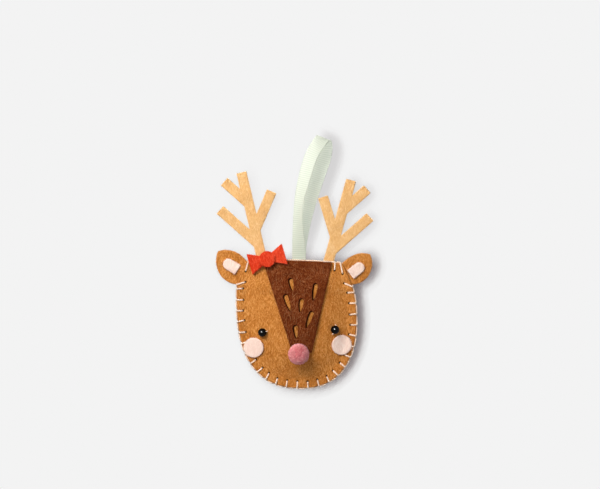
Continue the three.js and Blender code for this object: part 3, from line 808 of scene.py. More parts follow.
def arc(centre: Place, radius: float, start: float, end: float, steps: int = 48) -> Array:
    """Args: centre, radius, start and end in degrees, steps. Returns: points along the arc."""
    turn = np.radians(np.linspace(start, end, steps))
    return np.asarray(centre, float) + radius * np.stack([np.cos(turn), np.sin(turn)], 1)


def cubic(a: Array, b: Array, c: Array, d: Array, steps: int = 40) -> Array:
    """Args: the four control points of a cubic, steps. Returns: points along it."""
    t = np.linspace(0, 1, steps)[:, None]
    return a * (1 - t) ** 3 + 3 * b * t * (1 - t) ** 2 + 3 * c * t**2 * (1 - t) + d * t**3


def spline(points: Array, step: float) -> tuple[Array, Array]:
    """A smooth line through points, blended from straight stretches.

    Its knots lie apart by the square root of the points' distance.

    Args:
        points: the points, whose first three columns are a place and the rest go along.
        step: the spacing of the result.
    Returns:
        The points on the line, and the distance along it of each.
    """

    def between(t: Array, i: int, j: int, first: Array, second: Array) -> Array:
        """Args: t, two knots, their values. Returns: the values blended at t."""
        low, high = knots[i], knots[j]
        return (high - t) / (high - low) * first + (t - low) / (high - low) * second

    p = np.vstack([2 * points[0] - points[1], points, 2 * points[-1] - points[-2]])
    knots = np.concatenate([[0], np.cumsum(np.sqrt(np.linalg.norm(np.diff(p[:, :3], axis=0), axis=1)))])
    pieces = []
    for i in range(1, len(p) - 2):
        t = np.linspace(knots[i], knots[i + 1], 24, endpoint=False)[:, None]
        a, b, c = (between(t, i + k, i + k + 1, p[i + k], p[i + k + 1]) for k in (-1, 0, 1))
        pieces.append(between(t, i, i + 1, between(t, i - 1, i + 1, a, b), between(t, i, i + 2, b, c)))
    line = np.vstack([*pieces, points[-1:]])
    reach = travelled(line[:, :3])
    s = np.linspace(0, reach[-1], int(reach[-1] / step) + 1)
    return along(s, reach, line), s


def thread(name: str, points: Array, radius: float, nodes: Iterable[str], step: float = 0.22) -> None:
    """Adds a two-ply twisted thread along a line: its radius swells twice round it, and the swell turns.

    Args:
        name: the piece's name.
        points: the line's points.
        radius: the thread's radius.
        nodes: the CAD nodes that it stands for.
        step: the spacing of its sections.
    """
    # Points round a section, radii to half a turn of the plies, mean radius and swell, and unevenness
    sides, twist, mean, swell, uneven, pace = 12, 2.6, 0.93, 0.1, 0.04, 1.7
    line, s = spline(points, step)
    tangent = unit(np.gradient(line, axis=0))
    normal = np.empty_like(tangent)
    normal[0] = unit(np.cross(tangent[0], (0.3, 0.5, 0.8)))
    for i in range(1, len(line)):
        normal[i] = unit(normal[i - 1] - tangent[i] * (normal[i - 1] @ tangent[i]))
    side = np.cross(tangent, normal)
    turn = np.linspace(0, 2 * math.pi, sides, endpoint=False)
    ply = np.cos(2 * turn[None, :] - 2 * math.pi * s[:, None] / (twist * radius))
    reach = radius * (mean + swell * ply) * (1 + uneven * np.sin(s / pace))[:, None]
    rings = line[:, None] + reach[..., None] * (
        np.cos(turn)[None, :, None] * normal[:, None] + np.sin(turn)[None, :, None] * side[:, None]
    )
    faces = [quads(len(line), sides), *caps(len(line), sides)]
    # The tone is painted shade, darker where the plies meet.
    make(name, rings.reshape(-1, 3), faces, Slot.CREAM, nodes, values={"tone": (0.5 + 0.5 * ply).ravel()})


# How much thinner a fibre is at its tip, and how close to X its way may be before its sides start from Y
TAPER, STEEP = 0.75, 0.8


def strands(
    roots: Array, ways: Array, lengths: Array, radius: float, bend: Array, segments: int = 3
) -> tuple[Array, Array, Array]:
    """Tapered fibres, three-sided: straight out by the share along, and aside by its square.

    Args:
        roots: where they start.
        ways: their unit directions.
        lengths: their lengths.
        radius: their radius at the root.
        bend: how far each tip is carried aside.
        segments: pieces along a fibre.
    Returns:
        Points, quads and triangles.
    """
    t = np.linspace(0, 1, segments + 1)
    out = ways[:, None] * (lengths[:, None] * t)[..., None]
    line = roots[:, None] + out + bend[:, None] * (t**2)[None, :, None]
    aside = unit(np.cross(ways, np.where(np.abs(ways[:, :1]) < STEEP, (1.0, 0, 0), (0, 1.0, 0))))
    other = np.cross(ways, aside)
    turn = np.arange(3) * 2 * math.pi / 3
    across = np.cos(turn)[None, :, None] * aside[:, None] + np.sin(turn)[None, :, None] * other[:, None]
    wide = radius * (1 - TAPER * t)
    points = line[:, :, None] + across[:, None] * wide[None, :, None, None]
    step = (segments + 1) * 3
    starts = np.arange(len(roots))[:, None, None] * step
    tips = np.array([[2, 1, 0], [step - 3, step - 2, step - 1]])
    sides = (quads(segments + 1, 3)[None] + starts).reshape(-1, 4)
    return points.reshape(-1, 3), sides, (tips[None] + starts).reshape(-1, 3)


class Nap:
    """Loose fibres on felt, coarse enough to show: some lie on its face and some stand out of its cut edge.

    Args:
        name: the piece's name.
        slot: the felt's slot.
        seed: picks the fibres.
    """

    LYING, STANDING = 0.1, 0.04
    GRAIN, GRAIN_SPREAD, CROOK = 75.0, 48.0, 0.22
    EDGE_PACE, EDGE_ROOT = 0.16, 0.12
    EDGE_LENGTHS, EDGE_STRAY, EDGE_BEND = (0.35, 1.05), 0.5, 0.16
    LEAST_TONE, LEAST_EDGE_TONE = 0.15, 0.6
    # Half a lying fibre's length as a share of the mean, and where in the thickness the standing ones start
    HALF_LENGTHS, EDGE_SHARES, SQUARE_CM = (0.25, 0.75), (0.1, 0.9), 100

    def __init__(self, name: str, slot: Slot, seed: int) -> None:
        """Starts without a fibre."""
        self.name, self.slot = name, slot
        self.rng = np.random.default_rng(seed)
        self.parts: list[tuple[Array, Array, Array]] = []
        self.tones: list[Array] = []

    def _keep(
        self, roots: Array, ways: Array, radius: float, bend: Array, segments: int, pale: float
    ) -> None:
        """Keeps fibres and draws their tones.

        Args:
            roots: where they start.
            ways: their directions, as long as they are.
            radius: their radius at the root.
            bend: how far each tip is carried aside.
            segments: pieces along a fibre.
            pale: the least tone.
        """
        lengths = np.linalg.norm(ways, axis=1)
        grown = strands(roots, ways / lengths[:, None], lengths, radius, bend, segments)
        self.parts.append(grown)
        tones = self.rng.uniform(pale, 1.0, len(roots))
        self.tones.append(np.repeat(tones, len(grown[0]) // max(len(roots), 1)))

    def lie(self, loops: Sequence[Array], surface: Callable[[Array, Array], Array]) -> None:
        """Lays curved fibres on a face.

        Args:
            loops: the face's outline in x and z, then its holes.
            surface: gives y from x and z.
        """
        low, high = loops[0].min(0), loops[0].max(0)
        count = int(FELTS[self.slot].hairs * np.prod(high - low) / self.SQUARE_CM)
        middle = self.rng.uniform(low, high, (count, 2))
        turn = np.radians(self.rng.normal(self.GRAIN, self.GRAIN_SPREAD, count))
        lengths = FELTS[self.slot].hair_mm * self.rng.uniform(*self.HALF_LENGTHS, count)
        half = lengths[:, None] * np.stack([np.cos(turn), np.sin(turn)], 1)
        crook = self.rng.normal(0, self.CROOK, count)[:, None] * np.stack([-half[:, 1], half[:, 0]], 1)
        ends = (middle - half, middle + crook, middle + half)
        keep = np.all([inside(end, loops) for end in ends], 0)
        a, b, c = (at_depth(end, surface(end[:, 0], end[:, 1]))[keep] for end in ends)
        self._keep(a, 4 * (b - a) - (c - a), self.LYING, 2 * (c - a) - 4 * (b - a), 4, self.LEAST_TONE)

    def stand(self, loop: Array, way: Array, level: Lift) -> None:
        """Lets fibres stand out of a cut edge.

        Args:
            loop: the edge in x and z.
            way: the directions out of it.
            level: gives y from x, z and a share of the thickness.
        """
        pace = np.linalg.norm(np.roll(loop, -1, 0) - loop, axis=1).mean()
        pick = self.rng.integers(0, len(loop), int(len(loop) * pace / self.EDGE_PACE))
        share = self.rng.uniform(*self.EDGE_SHARES, len(pick))
        plan = loop[pick] - way[pick] * self.EDGE_ROOT
        roots = at_depth(plan, level(plan[:, 0], plan[:, 1], share))
        out = unit(at_depth(way[pick], 0 * share) + self.rng.normal(0, self.EDGE_STRAY, roots.shape))
        length = self.rng.uniform(*self.EDGE_LENGTHS, len(pick))[:, None]
        bend = self.rng.normal(0, self.EDGE_BEND, roots.shape)
        self._keep(roots, out * length, self.STANDING, bend, 2, self.LEAST_EDGE_TONE)

    def build(self) -> None:
        """Adds the fibres as one piece."""
        points, faces, first = [], [], 0
        for spots, sides, tips in self.parts:
            points.append(spots)
            faces += [sides + first, tips + first]
            first += len(spots)
        make(self.name, np.vstack(points), faces, self.slot, values={"tone": np.concatenate(self.tones)})


# Inset and height of a cut felt edge, from the back face round to the front, as shares of the thickness
CUT_EDGE = np.array(
    [(0.26, 0.0), (0.1, 0.06), (0.02, 0.25), (0.0, 0.5), (0.02, 0.75), (0.1, 0.94), (0.26, 1.0)]
)
# Spacing of the points on a cut piece's faces and round its edges, the row pitch of an even net, and how far
# the net keeps from the rims
FACE_STEP, EDGE_STEP, ROW_PITCH, RIM_CLEAR = 1.1, 0.36, 0.87, 0.55
# Unevenness of a cut piece: its wavelength, how far and how fast the rims wander, and the same of the faces
WOBBLE_LENGTH = 5.0
RIM_UNEVEN, RIM_PACE = 0.07, 9
FACE_UNEVEN, FACE_PACE = 0.05, 2
# What is added to a piece's seed for its nap
NAP_SEED = 500
# How dark the painted shade on the walls of a piece's holes is
PAINTED_WALL_SHADE = 0.9


def netted(outline: Array, rims: Sequence[Array]) -> tuple[Array, Array]:
    """Fills a shape with an even net of triangles.

    Args:
        outline: the shape's outline in x and z, which the net starts from.
        rims: the outline and the holes that the net ends at.
    Returns:
        The points, the rims' first, and the triangles, anticlockwise.
    """
    low, high = outline.min(0), outline.max(0)
    across = np.arange(low[0], high[0], FACE_STEP)
    gx, gz = np.meshgrid(across, np.arange(low[1], high[1], FACE_STEP * ROW_PITCH))
    gx[1::2] += FACE_STEP / 2
    inner = np.stack([gx.ravel(), gz.ravel()], 1)
    inner = inner[inside(inner, rims)]
    inner = inner[nearest(inner, np.vstack(rims)) > RIM_CLEAR * min(FACE_STEP, 3 * EDGE_STEP)]
    ties, first = [], 0
    for rim in rims:
        ring = np.arange(len(rim))
        ties.append(np.stack([ring, np.roll(ring, -1)], 1) + first)
        first += len(rim)
    flat = np.vstack([*rims, inner])
    found = delaunay_2d_cdt([Vector(p) for p in flat.tolist()], np.vstack(ties).tolist(), [], 1, 1e-7)
    corners = np.array([tuple(v) for v in found[0]])
    triangles = np.array(found[2])
    triangles = triangles[inside(corners[triangles].mean(1), rims)]
    a, b, c = (corners[triangles[:, i]] for i in range(3))
    turn = (b[:, 0] - a[:, 0]) * (c[:, 1] - a[:, 1]) - (b[:, 1] - a[:, 1]) * (c[:, 0] - a[:, 0])
    return corners, np.where((turn > 0)[:, None], triangles, triangles[:, ::-1])


def felt_piece(
    name: str, loops: Sequence[Array], lift: Lift, slot: Slot, seed: int, lean: Place = (0.0, 0.0)
) -> None:
    """Adds a piece cut from sheet felt, with soft cut edges, an uneven face, its nap, and painted shade on
    the walls of its holes.

    Args:
        name: the name of the CAD node that it stands for.
        loops: its outline in x and z, then the outlines of its holes.
        lift: gives y from x, z and the height through the felt.
        slot: the record's slot.
        seed: picks its unevenness.
        lean: how far in x and z the walls of its holes slant towards the back, so that their painted shade
            shows from the front.
    """
    wobble = Ripple(seed, WOBBLE_LENGTH)
    fine = [eased(resampled(anticlockwise(np.asarray(loop, float)), EDGE_STEP), 2) for loop in loops]
    signs = [1.0] + [-1.0] * (len(fine) - 1)
    ways = [sign * eased(outward(loop), 4) for sign, loop in zip(signs, fine)]
    fine = [loop + way * RIM_UNEVEN * wobble(*(RIM_PACE * loop.T))[:, None] for loop, way in zip(fine, ways)]
    rims = [loop - way * CUT_EDGE[0, 0] * FELT for loop, way in zip(fine, ways)]
    corners, triangles = netted(fine[0], rims)

    def raised(plan: Array, share: float) -> Array:
        """Args: points in x and z, share of the thickness. Returns: the points there, a little uneven."""
        uneven = FACE_UNEVEN * wobble(FACE_PACE * plan[:, 0] + share, FACE_PACE * plan[:, 1])
        return at_depth(plan, lift(plan[:, 0], plan[:, 1], share * FELT + uneven))

    def surface(x: Array, z: Array) -> Array:
        """Args: x, z. Returns: y of the fibres that lie there."""
        return lift(x, z, np.full(len(x), FELT + NAP_LIFT))

    def level(x: Array, z: Array, share: Array) -> Array:
        """Args: x, z, share of the thickness. Returns: y."""
        return lift(x, z, share * FELT)

    parts = [raised(corners, 1.0), raised(corners, 0.0)]
    shade = [np.zeros(2 * len(corners))]
    faces = [triangles, triangles[:, ::-1] + len(corners)]
    walls, first, total = [], 0, 2 * len(corners)
    for loop, way, sign in zip(fine, ways, signs):
        ring = np.arange(len(loop))
        slant = np.array(lean) if sign < 0 else np.zeros(2)
        ids = [ring + first + len(corners)]
        for inset, share in CUT_EDGE[1:-1]:
            parts.append(raised(loop - way * inset * FELT + slant * (1 - share), share))
            # The walls of holes get painted shade.
            shade.append(np.full(len(loop), PAINTED_WALL_SHADE if sign < 0 else 0.0))
            ids.append(ring + total)
            total += len(loop)
        ids.append(ring + first)
        first += len(loop)
        for lower, upper in zip(ids, ids[1:]):
            wall = np.stack([lower, np.roll(lower, -1), np.roll(upper, -1), upper], 1)
            walls.append(wall if sign > 0 else wall[:, ::-1])
    nap = Nap(f"felt_{name}_nap", slot, seed + NAP_SEED)
    nap.lie(rims, surface)
    nap.stand(fine[0], ways[0], level)
    nap.build()
    values = {"hole": np.concatenate(shade)}
    make(f"felt_{name}", np.vstack(parts), [*faces, np.vstack(walls)], slot, [name], values=values)


@dataclass(frozen=True)
class Eye:
    """A bead eye and the thread that holds it.

    Args:
        side: which eye.
        at: where it is sewn on the face.
        bore: the turn of its bore from level, in degrees.
        radius: the bead's radius.
        bore_radius: the bore's.
        seat: height of the bead's middle over the felt, as a share of its radius.
    """

    side: Side
    at: Place
    bore: float
    radius: float = 3.0
    bore_radius: float = 0.65
    seat: float = 0.72

    SKIN_RINGS, BORE_RINGS, COLUMNS = 40, 6, 48
    # The thread's way from the bead's middle: out along the bore, and down into the felt
    THREAD_WAY = ((0.0, 0.0), (1.4, 0.0), (2.95, 0.05), (3.16, 0.6), (3.25, 2.4), (3.25, 4.2))
    THREAD_STEP = 0.12

    def build(self) -> None:
        """Adds the bead, rings of a ball that go on as rings of its bore, and the thread."""
        word = self.side.word
        normal = HEAD.face_normal(*self.at)
        centre = HEAD.face(*self.at, FELT) + normal * (self.radius * self.seat)
        turn = math.radians(self.bore)
        level = np.array([math.cos(turn), 0, math.sin(turn)])
        bore = unit(level - normal * (level @ normal))
        mouth = math.acos(self.bore_radius / self.radius)
        lat = np.linspace(-mouth, mouth, self.SKIN_RINGS)
        wall = np.linspace(1, -1, self.BORE_RINGS + 2)[1:-1]
        reach = np.concatenate([self.radius * np.cos(lat), np.full(len(wall), self.bore_radius)])
        rise = self.radius * np.concatenate([np.sin(lat), math.sin(mouth) * wall])
        lon = np.linspace(0, 2 * math.pi, self.COLUMNS, endpoint=False)[:, None]
        around = np.cos(lon) * normal + np.sin(lon) * np.cross(bore, normal)
        points = centre + reach[:, None, None] * around + rise[:, None, None] * bore
        # The last ring meets the first.
        faces = quads(len(reach) + 1, self.COLUMNS) % (len(reach) * self.COLUMNS)
        make(f"bead_{word}", points.reshape(-1, 3), [faces], Slot.BEAD, [f"eye_bead_{word}"])
        ways = [(-out, down) for out, down in self.THREAD_WAY[:0:-1]] + [*self.THREAD_WAY]
        line = np.array([centre + bore * out - normal * down for out, down in ways])
        thread(f"sewing_{word}", line, EYE_THREAD / 2, [f"eye_thread_{word}"], step=self.THREAD_STEP)


EYES = (Eye(Side.LEFT, at=(-23.4, -49.8), bore=15.0), Eye(Side.RIGHT, at=(25.7, -48.0), bore=70.0))


def dent(distance: Array, depth: float, radius: float) -> Array:
    """Args: distances, depth, radius. Returns: depth times e to minus the square of distance over radius."""
    return depth * np.exp(-((distance / radius) ** 2))


@dataclass
class Panels:
    """The two stuffed felt panels, with the stitches and eyes pressed into them, and the filling.

    Args:
        around: points round a ring of a panel.
        packed: points round a ring of the filling.
        uneven: how far the felt is uneven.
        leg_dent: depth and radius of the dent of a stitch's leg.
        hole_dent: the same of its hole.
        eye_dent: the same of an eye.
        filling_gap: space between the filling and a panel.
        lump: how lumpy the filling is.
    """

    around: int = 760
    packed: int = 160
    uneven: float = 0.16
    leg_dent: Place = (0.3, 0.85)
    hole_dent: Place = (0.6, 0.75)
    eye_dent: Place = (0.5, 3.2)
    filling_gap: float = 0.75
    lump: float = 0.15

    # Rings of a panel: distances in from the edge on the sewn border, closer at the holes, then shares of the
    # way from the seam to the middle
    INSETS = np.array(
        [0.3, 0.6, 1.0, 1.4, 1.8, 2.2, 2.6, 3.0, 3.35, 3.7, 4.0, 4.25, 4.5, 4.75, 5.0, 5.4, 5.7]
    )
    SHARES = np.concatenate([np.linspace(0, 0.1, 7), np.linspace(0.125, 0.97, 30)])
    FILLING_SHARES = np.linspace(0.1, 0.96, 14)
    # From and to how far off the painted shade round a stitch hole fades
    HOLE_FADE = (0.55, 0.95)
    # The unevenness of the felt, which starts at a little swell, of its cut edge, and of the filling
    WAVES, WAVES_FROM, LUMPS = Ripple(5, 13.0), (0, 0.2), Ripple(11, 6.0)
    RIM_WAVE, RIM_TURN = 0.04, 9
    NAP_INSET, NAP_SEED = 0.8, 610

    def sheet(
        self, puff: float, insets: Array, shares: Array, lift: float, back: bool
    ) -> tuple[Array, Array]:
        """One face of a panel as rings from the edge to the middle.

        Args:
            puff: the panel's swell.
            insets: distances in from the edge of the rings on the sewn border.
            shares: how far towards the middle the further rings are.
            lift: height over the panel's inner side.
            back: whether it is the back panel, whose legs are a step along.
        Returns:
            The points as rings, and how much painted shade round a stitch hole each gets.
        """
        s = HEAD.stations(self.around)
        seam = HEAD.ring(s, HEAD.allowance)
        rings = [HEAD.ring(s, inset) for inset in insets]
        rings += [seam * (1 - share) + HEAD.MIDDLE * share for share in shares]
        plan = np.stack(rings)
        x, z = plan[..., 0], plan[..., 1]
        depth, hole = self.depth(x, z, puff, lift), np.zeros_like(x)
        if lift > 0:
            depth, hole = self.pressed(x, z, depth, back)
        return at_depth(plan, depth if back else -depth), hole

    def depth(self, x: Array, z: Array, puff: float, lift: float) -> Array:
        """Args: x, z, puff, lift. Returns: the distance from the seam plane, a little uneven."""
        uneven = self.uneven * self.WAVES(x, z) * smoothstep(HEAD.swell(x, z), *self.WAVES_FROM)
        return HEAD.depth(x, z, puff) + lift + uneven

    def pressed(self, x: Array, z: Array, depth: Array, back: bool) -> tuple[Array, Array]:
        """Presses the stitches and the eyes into a panel's outer face, and paints shade round the stitch
        holes.

        Args:
            x, z: plan of the points.
            depth: their distance from the seam plane.
            back: whether it is the back panel.
        Returns:
            The pressed depth, and the painted shade round the stitch holes at each point.
        """
        hole = np.zeros_like(depth)
        point = np.stack([x, z], -1)
        for stitch in STITCHES:
            start = stitch.start(back)
            leg = stitch.hole - start
            share = np.clip(((point - start) @ leg) / (leg @ leg), 0, 1)
            beside = np.linalg.norm(point - start - share[..., None] * leg, axis=-1)
            spot = np.linalg.norm(point - stitch.hole, axis=-1)
            hole = np.maximum(hole, 1 - smoothstep(spot, *self.HOLE_FADE))
            depth = depth - dent(beside, *self.leg_dent) - dent(spot, *self.hole_dent)
        for eye in () if back else EYES:
            depth = depth - dent(np.linalg.norm(point - np.array(eye.at), axis=-1), *self.eye_dent)
        return depth, hole

    def panel(self, name: str, puff: float, back: bool) -> None:
        """Adds a panel as rings: its outer face from the middle, its cut edge, and its inner face.

        Args:
            name: the CAD node that it stands for.
            puff: its swell.
            back: whether it is the back panel.
        """
        outer, hole = self.sheet(puff, self.INSETS, self.SHARES, FELT, back)
        inner, _ = self.sheet(puff, self.INSETS[::4], self.SHARES[::3], 0.0, back)
        s = HEAD.stations(self.around)
        sign = 1.0 if back else -1.0
        rim = []
        for inset, share in CUT_EDGE[-2:0:-1]:
            plan = HEAD.ring(s, inset * FELT + self.RIM_WAVE * np.sin(share * self.RIM_TURN))
            rim.append(at_depth(plan, sign * (HEAD.opening(plan[:, 1]) + share * FELT)))
        rings = np.concatenate([outer[::-1], np.stack(rim), inner])
        rows, columns = rings.shape[:2]
        points = np.vstack([rings.reshape(-1, 3), outer[-1].mean(0), inner[-1].mean(0)])
        # Painted shade round the stitch holes of the outer face
        shade = np.zeros(len(points))
        shade[: hole.size] = hole[::-1].ravel()
        faces = [quads(rows, columns), *fans(rows, columns)]
        if back:
            faces = [face[:, ::-1] for face in faces]
        obj = make(f"felt_{name}", points, faces, Slot.CAMEL, [name], values={"hole": shade})

    def nap(self, name: str, puff: float, back: bool) -> None:
        """Adds a panel's loose fibres.

        Args:
            name: the panel's CAD node.
            puff: its swell.
            back: whether it is the back panel.
        """
        sign = 1.0 if back else -1.0

        def surface(x: Array, z: Array) -> Array:
            """Args: x, z. Returns: y of the fibres that lie there."""
            return sign * (self.pressed(x, z, self.depth(x, z, puff, FELT), back)[0] + NAP_LIFT)

        def level(x: Array, z: Array, share: Array) -> Array:
            """Args: x, z, share of the thickness. Returns: y."""
            return sign * (HEAD.opening(z) + share * FELT)

        s = HEAD.stations(self.around)
        edge = HEAD.ring(s, 0.0)
        fibres = Nap(f"felt_{name}_nap", Slot.CAMEL, self.NAP_SEED + back)
        fibres.lie([HEAD.ring(s, self.NAP_INSET)], surface)
        fibres.stand(edge, -outward(edge), level)
        fibres.build()

    def filling(self) -> None:
        """Adds the loose filling: lumpy rings just inside the front panel, then the back one."""
        seam = HEAD.ring(HEAD.stations(self.packed), HEAD.allowance)
        halves = ((HEAD.front_puff, -1, self.FILLING_SHARES[::-1]), (HEAD.back_puff, 1, self.FILLING_SHARES))
        rings = []
        for puff, sign, shares in halves:
            for share in shares:
                plan = seam * (1 - share) + HEAD.MIDDLE * share
                x, z = plan.T
                depth = HEAD.depth(x, z, puff) - self.filling_gap + self.lump * self.LUMPS(x, z)
                rings.append(at_depth(plan, sign * depth))
        points = np.vstack([*rings, rings[0].mean(0), rings[-1].mean(0)])
        faces = [quads(len(rings), self.packed), *fans(len(rings), self.packed)]
        make("loose_filling", points, faces, Slot.FILLING, ["stuffing"])

    def build(self) -> None:
        """Adds the panels and the filling."""
        panels = (("front_panel", HEAD.front_puff, False), ("back_panel", HEAD.back_puff, True))
        for name, puff, back in panels:
            self.panel(name, puff, back)
            self.nap(name, puff, back)
        self.filling()


@dataclass
class Stitching:
    """The blanket stitch round the head, one thread.

    Args:
        off: how far the middle of a leg is from the felt.
        run_off: how far a run along the edge is from it.
        run_lane: depth of the runs along the closed seam, as a share of the panel's middle.
        run_step: how far from its stitches a run starts and ends.
        mouth: how far from its hole a leg bends into the felt.
        sink: how deep it goes there.
        fullness: radius of the soft thread as a share of its width, because its plies stand out.
    """

    off: float = 0.34
    run_off: float = 0.52
    run_lane: float = -0.5
    run_step: float = 1.2
    mouth: float = 0.7
    sink: float = 0.7
    fullness: float = 0.6

    # Points of the long run along the top and of the right corner's, and a lane behind the back panel
    TOP_START, TOP_STEP, TOP_END = 9.0, 9.0, 5.0
    CORNER_RUN, BEHIND = 0.5, 1.0
    # A leg: how far down the cut edge it starts, where it comes over, and its heights as shares of off
    LEG_DROP, LEG_OVER, LEG_HEIGHTS = 0.35, 0.1, (0.85, 0.9, 0.7)

    def run(self, s: float, lane: float) -> Array:
        """One point of a run along the edge.

        Args:
            s: the distance along the edge.
            lane: its depth as a share of the panel's middle, or 0 for run_lane.
        Returns:
            The point.
        """
        plan = HEAD.beside(s, -self.run_off)
        return at_depth(plan, (lane or self.run_lane) * (HEAD.opening(plan[1]) + FELT / 2))

    def leg(self, stitch: Stitch, at: float) -> list[tuple[Array, float]]:
        """One leg of a stitch: round the edge, over the felt and down into the hole.

        Args:
            stitch: the stitch.
            at: where the leg crosses the edge, along the edge.
        Returns:
            Its points in x and z, each with its distance from the seam plane.
        """
        edge = HEAD.beside(at, 0)
        out = self.mouth * unit(edge - stitch.hole)
        face = HEAD.opening(edge[1]) + FELT
        near = HEAD.depth(*stitch.hole, HEAD.front_puff) + FELT
        mouth = stitch.hole + out
        over, middle, end = (self.off * share for share in self.LEG_HEIGHTS)
        return [
            (HEAD.beside(at, -self.off), face - self.LEG_DROP),
            (HEAD.beside(at, self.LEG_OVER), face + over),
            ((edge + mouth) / 2, face + middle),
            (mouth + out, near + end),
            (mouth, near - self.sink),
        ]

    def route(self) -> Array:
        """Returns: the thread's points, from behind the top left corner round to behind the left ear."""
        points: list[Array] = []
        for number, stitch in enumerate(STITCHES):
            end = stitch.at + BACK_STEP
            if number > 0:
                points.append(self.run(stitch.at - self.run_step, stitch.before))
            points += [at_depth(plan, -y) for plan, y in self.leg(stitch, stitch.at)]
            points += [at_depth(plan, y) for plan, y in self.leg(stitch, end)[::-1]]
            points.append(self.run(end + self.run_step, stitch.after))
            if number == 0:
                top = np.arange(stitch.at + self.TOP_START, STITCHES[1].at - self.TOP_END, self.TOP_STEP)
                points += [self.run(s, stitch.after) for s in top]
            if number == 2:
                points.append(self.run(HEAD.top_length + self.CORNER_RUN, self.BEHIND))
        points.append(self.run(HEAD.length - self.run_step, self.BEHIND))
        return np.array(points)

    def build(self) -> None:
        """Adds the thread."""
        thread("stitch_thread", self.route(), THREAD * self.fullness, ["blanket_stitch"])


@dataclass(frozen=True)
class Pompom:
    """The nose: a ball of fine tufts that lean together in clumps round a solid middle, flat at its foot.

    Args:
        at: its place on the face.
        radius: its radius.
        tufts: how many a whole ball has.
        clumps: how many clumps they lean to.
        flat: how much of the ball its flat side cuts off.
        core_depth: how far below the tips the solid middle ends.
        tuft: a tuft's radius, drawn coarser than yarn so that it shows.
        root: how far below the surface it starts.
        length: its mean length.
        shortest: its least length over the felt.
    """

    at: Place = (1.2, -63.6)
    radius: float = 7.5
    tufts: int = 7200
    clumps: int = 1000
    flat: float = 3.6
    core_depth: float = 1.6
    tuft: float = 0.2
    root: float = 2.4
    length: float = 2.1
    shortest: float = 0.3

    # How far the tufts stray from even directions, lean to their clumps and differ in length
    STRAY, LEAN, LEAN_SPREAD, LENGTH_SPREAD, LUMP = 0.14, 0.6, 0.12, 0.12, 0.16
    # Directions along the flat side's axis: the lowest tufts, and those whose roots lie deeper
    LOWEST, LOW, LOW_ROOT = -0.76, -0.3, 0.82
    # Tones of the tufts, which differ by tuft and by clump, and the painted shade that darkens them towards
    # the root and darkens the middle
    TONE, TONE_SPREAD, CLUMP_SPREAD = 0.6, 0.12, 0.2
    ROOT_TONE, TONE_RISE, CORE_TONE = 0.45, 0.7, 0.3
    # The middle's rings, their points, and the lowest and highest as shares of its radius
    CORE_ROWS, CORE_COLUMNS, CORE_LOW, CORE_TOP = 24, 40, -0.62, 0.999
    # Picks the tufts, and the slow waves of their lengths: which, how long and how skewed
    SEED, LUMP_WAVES, LUMP_SKEW = 7, Ripple(17, 0.62), 0.4

    def spread(self) -> Array:
        """Returns: even directions over a ball: even steps along its axis, a golden angle's turn at each."""
        index = np.arange(self.tufts)
        z = 1 - 2 * (index + 0.5) / self.tufts
        turn = index * math.pi * (3 - math.sqrt(5))
        flat = np.sqrt(1 - z * z)
        return np.stack([flat * np.cos(turn), flat * np.sin(turn), z], 1)

    def build(self) -> None:
        """Adds the tufts and the middle."""
        rng = np.random.default_rng(self.SEED)
        normal = HEAD.face_normal(*self.at)
        sunk = self.radius - self.flat
        centre = HEAD.face(*self.at, 2 * FELT + OPEN_GAP) + normal * sunk
        ways = self.spread()
        ways = ways[ways @ normal > self.LOWEST]
        ways = unit(ways + rng.normal(0, self.STRAY, ways.shape))
        facing = ways @ normal
        start = (self.radius - self.root) * np.where(facing < self.LOW, self.LOW_ROOT, 1.0)
        skew = self.LUMP_SKEW * ways[:, 1]
        lumps = self.LUMP_WAVES(ways[:, 0] + skew, ways[:, 2] - skew)
        lengths = rng.normal(self.length, self.LENGTH_SPREAD, len(ways)) + self.LUMP * lumps
        # A tuft ends at the blaze, or at the panel where it points down past the blaze's foot.
        floor = np.where(ways[:, 2] < 0, sunk + FELT, sunk)
        lengths = np.minimum(lengths, np.maximum(floor / np.maximum(-facing, 0.05) - start, self.shortest))
        clumps = unit(rng.normal(0, 1, (self.clumps, 3)))
        mine = (ways @ clumps.T).argmax(1)
        bend = self.LEAN * (clumps[mine] - ways) * (start + lengths)[:, None]
        bend = bend + rng.normal(0, self.LEAN_SPREAD, ways.shape)
        points, sides, tips = strands(centre + ways * start[:, None], ways, lengths, self.tuft, bend)
        tone = rng.normal(self.TONE, self.TONE_SPREAD, len(ways))
        tone = tone + rng.normal(0, self.CLUMP_SPREAD, self.clumps)[mine]
        # Each tuft's four rings of three points go from painted shade at the root to pale at the tip.
        rise = np.repeat(self.ROOT_TONE + self.TONE_RISE * np.linspace(0, 1, 4), 3)
        tone = np.clip(np.clip(tone, 0, 1)[:, None] * rise, 0, 1)
        make("pompom_tufts", points, [sides, tips], Slot.YARN, ["nose_pompom"], values={"tone": tone.ravel()})
        self.core(centre, normal)

    def core(self, centre: Array, normal: Array) -> None:
        """Adds the solid middle: rings of a ball that is cut off below.

        Args:
            centre: the ball's centre.
            normal: its axis, out of the face.
        """
        rows, columns = self.CORE_ROWS, self.CORE_COLUMNS
        rise = np.linspace(self.CORE_LOW, self.CORE_TOP, rows)[:, None, None]
        lon = np.linspace(0, 2 * math.pi, columns, endpoint=False)[:, None]
        across = unit(np.cross(normal, (0, 0, 1.0)))
        around = np.cos(lon) * across + np.sin(lon) * np.cross(normal, across)
        rings = centre + (self.radius - self.core_depth) * (np.sqrt(1 - rise**2) * around + rise * normal)
        faces = [quads(rows, columns), *caps(rows, columns)]
        # The middle's dark tone is painted shade.
        values = {"tone": np.full(rows * columns, self.CORE_TONE)}
        make("pompom_core", rings.reshape(-1, 3), faces, Slot.YARN, values=values)


